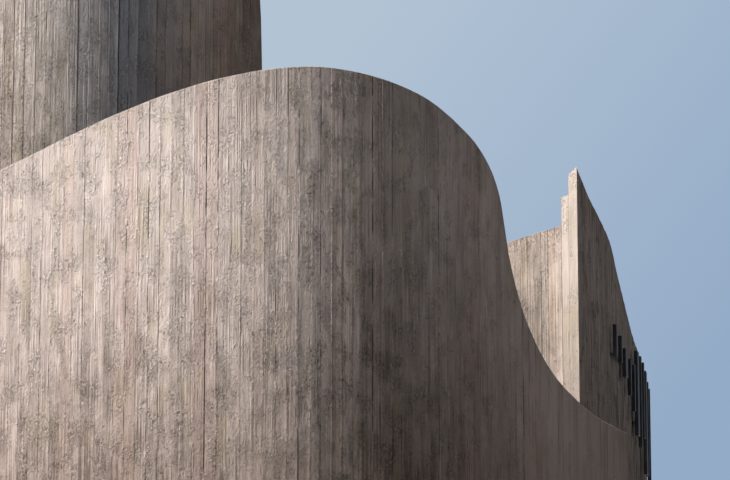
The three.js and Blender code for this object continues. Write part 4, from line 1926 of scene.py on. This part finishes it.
@dataclass
class ReliefFins:
    """Generic relief of staggered steel fins on two curved rails, pinned off the dark street flank."""

    start: float = 2.05
    pitch: float = 0.42
    stand: float = 0.05
    depth: float = 0.06
    slim: float = 0.07
    wide: float = 0.2
    top: float = 10.27
    lengths: tuple[float, ...] = (0.5, 0.42, 0.45, 0.58, 0.74, 1.36, 1.48, 1.24, 1.7, 1.56, 1.8)
    lifts: tuple[float, ...] = (0.0, -0.11, -0.25, -0.34, -0.37, -0.09, -0.1, -0.14, -0.22, -0.33, -0.38)
    rails: tuple[tuple[float, int], ...] = ((9.79, 0), (9.02, 5))
    rail_height: float = 0.05
    rail_thick: float = 0.025
    rail_steps: int = 48
    pin: float = 0.016
    chamfer: float = 0.006

    def build(self) -> list[Object]:
        """Makes every fin, both rails, and the pins with their wall plates.

        Returns:
            The dressed relief.
        """
        shell = Shell()
        for i, (length, lift) in enumerate(zip(self.lengths, self.lifts)):
            high = self.top + lift
            half = (self.wide if i % 3 == 2 else self.slim) / 2
            place = Place(SWEEP_LINE, self.start + self.pitch * i, Side.NORTH)
            y = (-self.stand - self.depth, -self.stand)
            shell.loft(place.bar((-half, half), y, (high - length, high), self.chamfer))
        for low, first in self.rails:
            self.add_rail(shell, low, first)
        return [stand_in(shell, "flank_relief_fins", "steel", Slot.METAL, CoatedSteel())]

    def add_rail(self, shell: Shell, low: float, first: int) -> None:
        """A rail that follows the wall's curve behind the fins, with a pin and wall plate at every second.

        Args:
            shell: the relief in the making.
            low: height of the rail's underside.
            first: number of its first fin.
        """
        last = len(self.lengths) - 1
        front = -(self.stand + self.rail_thick / 2)
        back = front + self.rail_thick
        soft = 0.003
        y = np.array([front, front, front + soft, back - soft, back, back, back - soft, front + soft])
        high = low + self.rail_height
        z = np.array([low + soft, high - soft, high, high, high - soft, low + soft, low, low])
        ends = (self.start + self.pitch * fin for fin in (first, last))
        distance = np.linspace(*ends, self.rail_steps)[:, None]
        plan = SWEEP_LINE.at(distance, y) * Side.NORTH.value
        shell.loft(np.concatenate([plan, np.broadcast_to(z, plan.shape[:2])[..., None]], axis=2))
        radius = self.pin / 2
        plate = [(0.0, radius), (-back - 0.0095, radius), (-back - 0.0093, 0.03), (-back - 0.006, 0.033),
                 (-back - 0.0048, 0.033)]
        for i in range(first, last + 1, 2):
            place = Place(SWEEP_LINE, self.start + self.pitch * i, Side.NORTH)
            centre = (0.0, back, low + self.rail_height / 2)
            shell.loft(place.turned(centre, Axis.ACROSS, plate, 16))


@dataclass(frozen=True)
class Lamp:
    """A broad far-off lamp: strength, width of its disc, and where it comes from, in degrees.

    Its azimuth is counted in plan from -X towards -Y, its height from the horizon.
    """

    name: str
    strength: float
    spread: float
    azimuth: float
    height: float

    def hang(self, colour: Triple) -> None:
        """Puts the lamp in the scene.

        Args:
            colour: its linear colour.
        """
        data = bpy.data.lights.new(self.name, "SUN")
        data.energy = self.strength
        data.angle = math.radians(self.spread)
        data.color = colour
        turn = math.radians(self.azimuth - 90.0)
        linked(self.name, data).rotation_euler = (math.radians(90.0 - self.height), 0.0, turn)


@dataclass(frozen=True)
class Studio:
    """Pale floor, a broad key from the left, two weaker lamps, a pale sky and the photograph's camera."""

    eye: Triple = (3.3187, -54.6, 1.6)
    pitch: float = 11.1
    focal_pixels: float = 3360.0
    frame_pixels: float = 730.0
    sensor: float = 36.0
    clip: Span = (1.0, 2000.0)
    floor_radius: float = 1500.0
    floor_level: float = -0.001
    floor_sides: int = 96
    sky_deep: str = "94ABC7"
    sky_pale: str = "B2C3D4"
    sky_east: float = -5.4
    sky_up: float = 4.3
    sky_shift: float = -0.12
    fill: str = "EEF1F8"
    fill_strength: float = 0.2
    lamp_colour: str = "FFFFFE"
    lamps: tuple[Lamp, ...] = (
        Lamp("key", strength=14.3, spread=14.0, azimuth=28.0, height=42.0),
        Lamp("side", strength=0.28, spread=60.0, azimuth=165.0, height=20.0),
        Lamp("back", strength=4.5, spread=30.0, azimuth=-90.0, height=38.0),
    )

    def camera(self) -> None:
        """Camera at eye height, far off, looking along +Y and a little up, with a long lens."""
        data = bpy.data.cameras.new("street_camera")
        data.sensor_width = self.sensor
        data.lens = self.focal_pixels / self.frame_pixels * self.sensor
        data.clip_start, data.clip_end = self.clip
        camera = linked("street_camera", data)
        camera.location = self.eye
        camera.rotation_euler = (math.radians(90.0 + self.pitch), 0.0, 0.0)
        bpy.context.scene.camera = camera
        bpy.context.scene.view_settings.view_transform = "Standard"

    def lights(self) -> None:
        """The lamps, and a soft even fill from all round.

        The sky is drawn only for the camera, as a wash between two pale blues; the fill is neutral.
        """
        for lamp in self.lamps:
            lamp.hang(linear(self.lamp_colour)[:3])

        world = bpy.data.worlds.new("pale_sky")
        bpy.context.scene.world = world
        graph = Graph(world)
        way = graph.add("TexCoord", output="Generated")
        share = graph.times(graph.part(way, "X"), self.sky_east, self.sky_shift)
        share = graph.times(graph.part(way, "Z"), self.sky_up, share, clamp=True)
        sky = graph.over(self.sky_deep, share, self.sky_pale)
        seen = graph.add("Background", {"Color": sky, "Strength": 1.0})
        fill = graph.add("Background", {"Color": linear(self.fill), "Strength": self.fill_strength})
        to_camera = graph.add("LightPath", output="Is Camera Ray")
        graph.add("OutputWorld", (graph.add("MixShader", (to_camera, fill, seen)),))

    def floor(self) -> None:
        """A round floor far wider than any view; it throws no light back up at the walls."""
        around = np.linspace(0.0, 2 * math.pi, self.floor_sides, endpoint=False)
        edge = np.stack([np.cos(around), np.sin(around)], axis=-1) * self.floor_radius
        points = np.concatenate([edge, np.full((len(edge), 1), self.floor_level)], axis=1)
        mesh = bpy.data.meshes.new("studio_floor")
        mesh.from_pydata(points.tolist(), [], [list(range(len(points)))])
        mesh.materials.append(PaleFloor().material())
        floor = linked("studio_floor", mesh)
        floor.visible_diffuse = False
        floor.visible_shadow = False


def main() -> None:
    """Builds the studio and every sub-assembly in order, and reports each piece."""
    logging.basicConfig(level=logging.INFO, format="%(message)s")
    studio = Studio()
    studio.camera()
    studio.lights()
    studio.floor()
    slots = tuple(Opening(station, width=0.46, low=1.2, height=3.6) for station in (6.2, 7.9, 9.6))
    door = Opening(station=4.7, width=2.4, low=0.15, height=2.7)
    parts = [Walls(slots, door), Slabs()]
    for side in Side:
        parts += [Doorway(door, side), Rooflight(side)]
        parts += [SlotWindow(slot, side, number) for number, slot in enumerate(slots, 1)]
    parts.append(ReliefFins())
    for part in parts:
        for piece in part.build():
            LOG.info("%s: %s, %d faces", type(part).__name__, piece.name, len(piece.data.polygons))


if __name__ == "__main__":
    main()
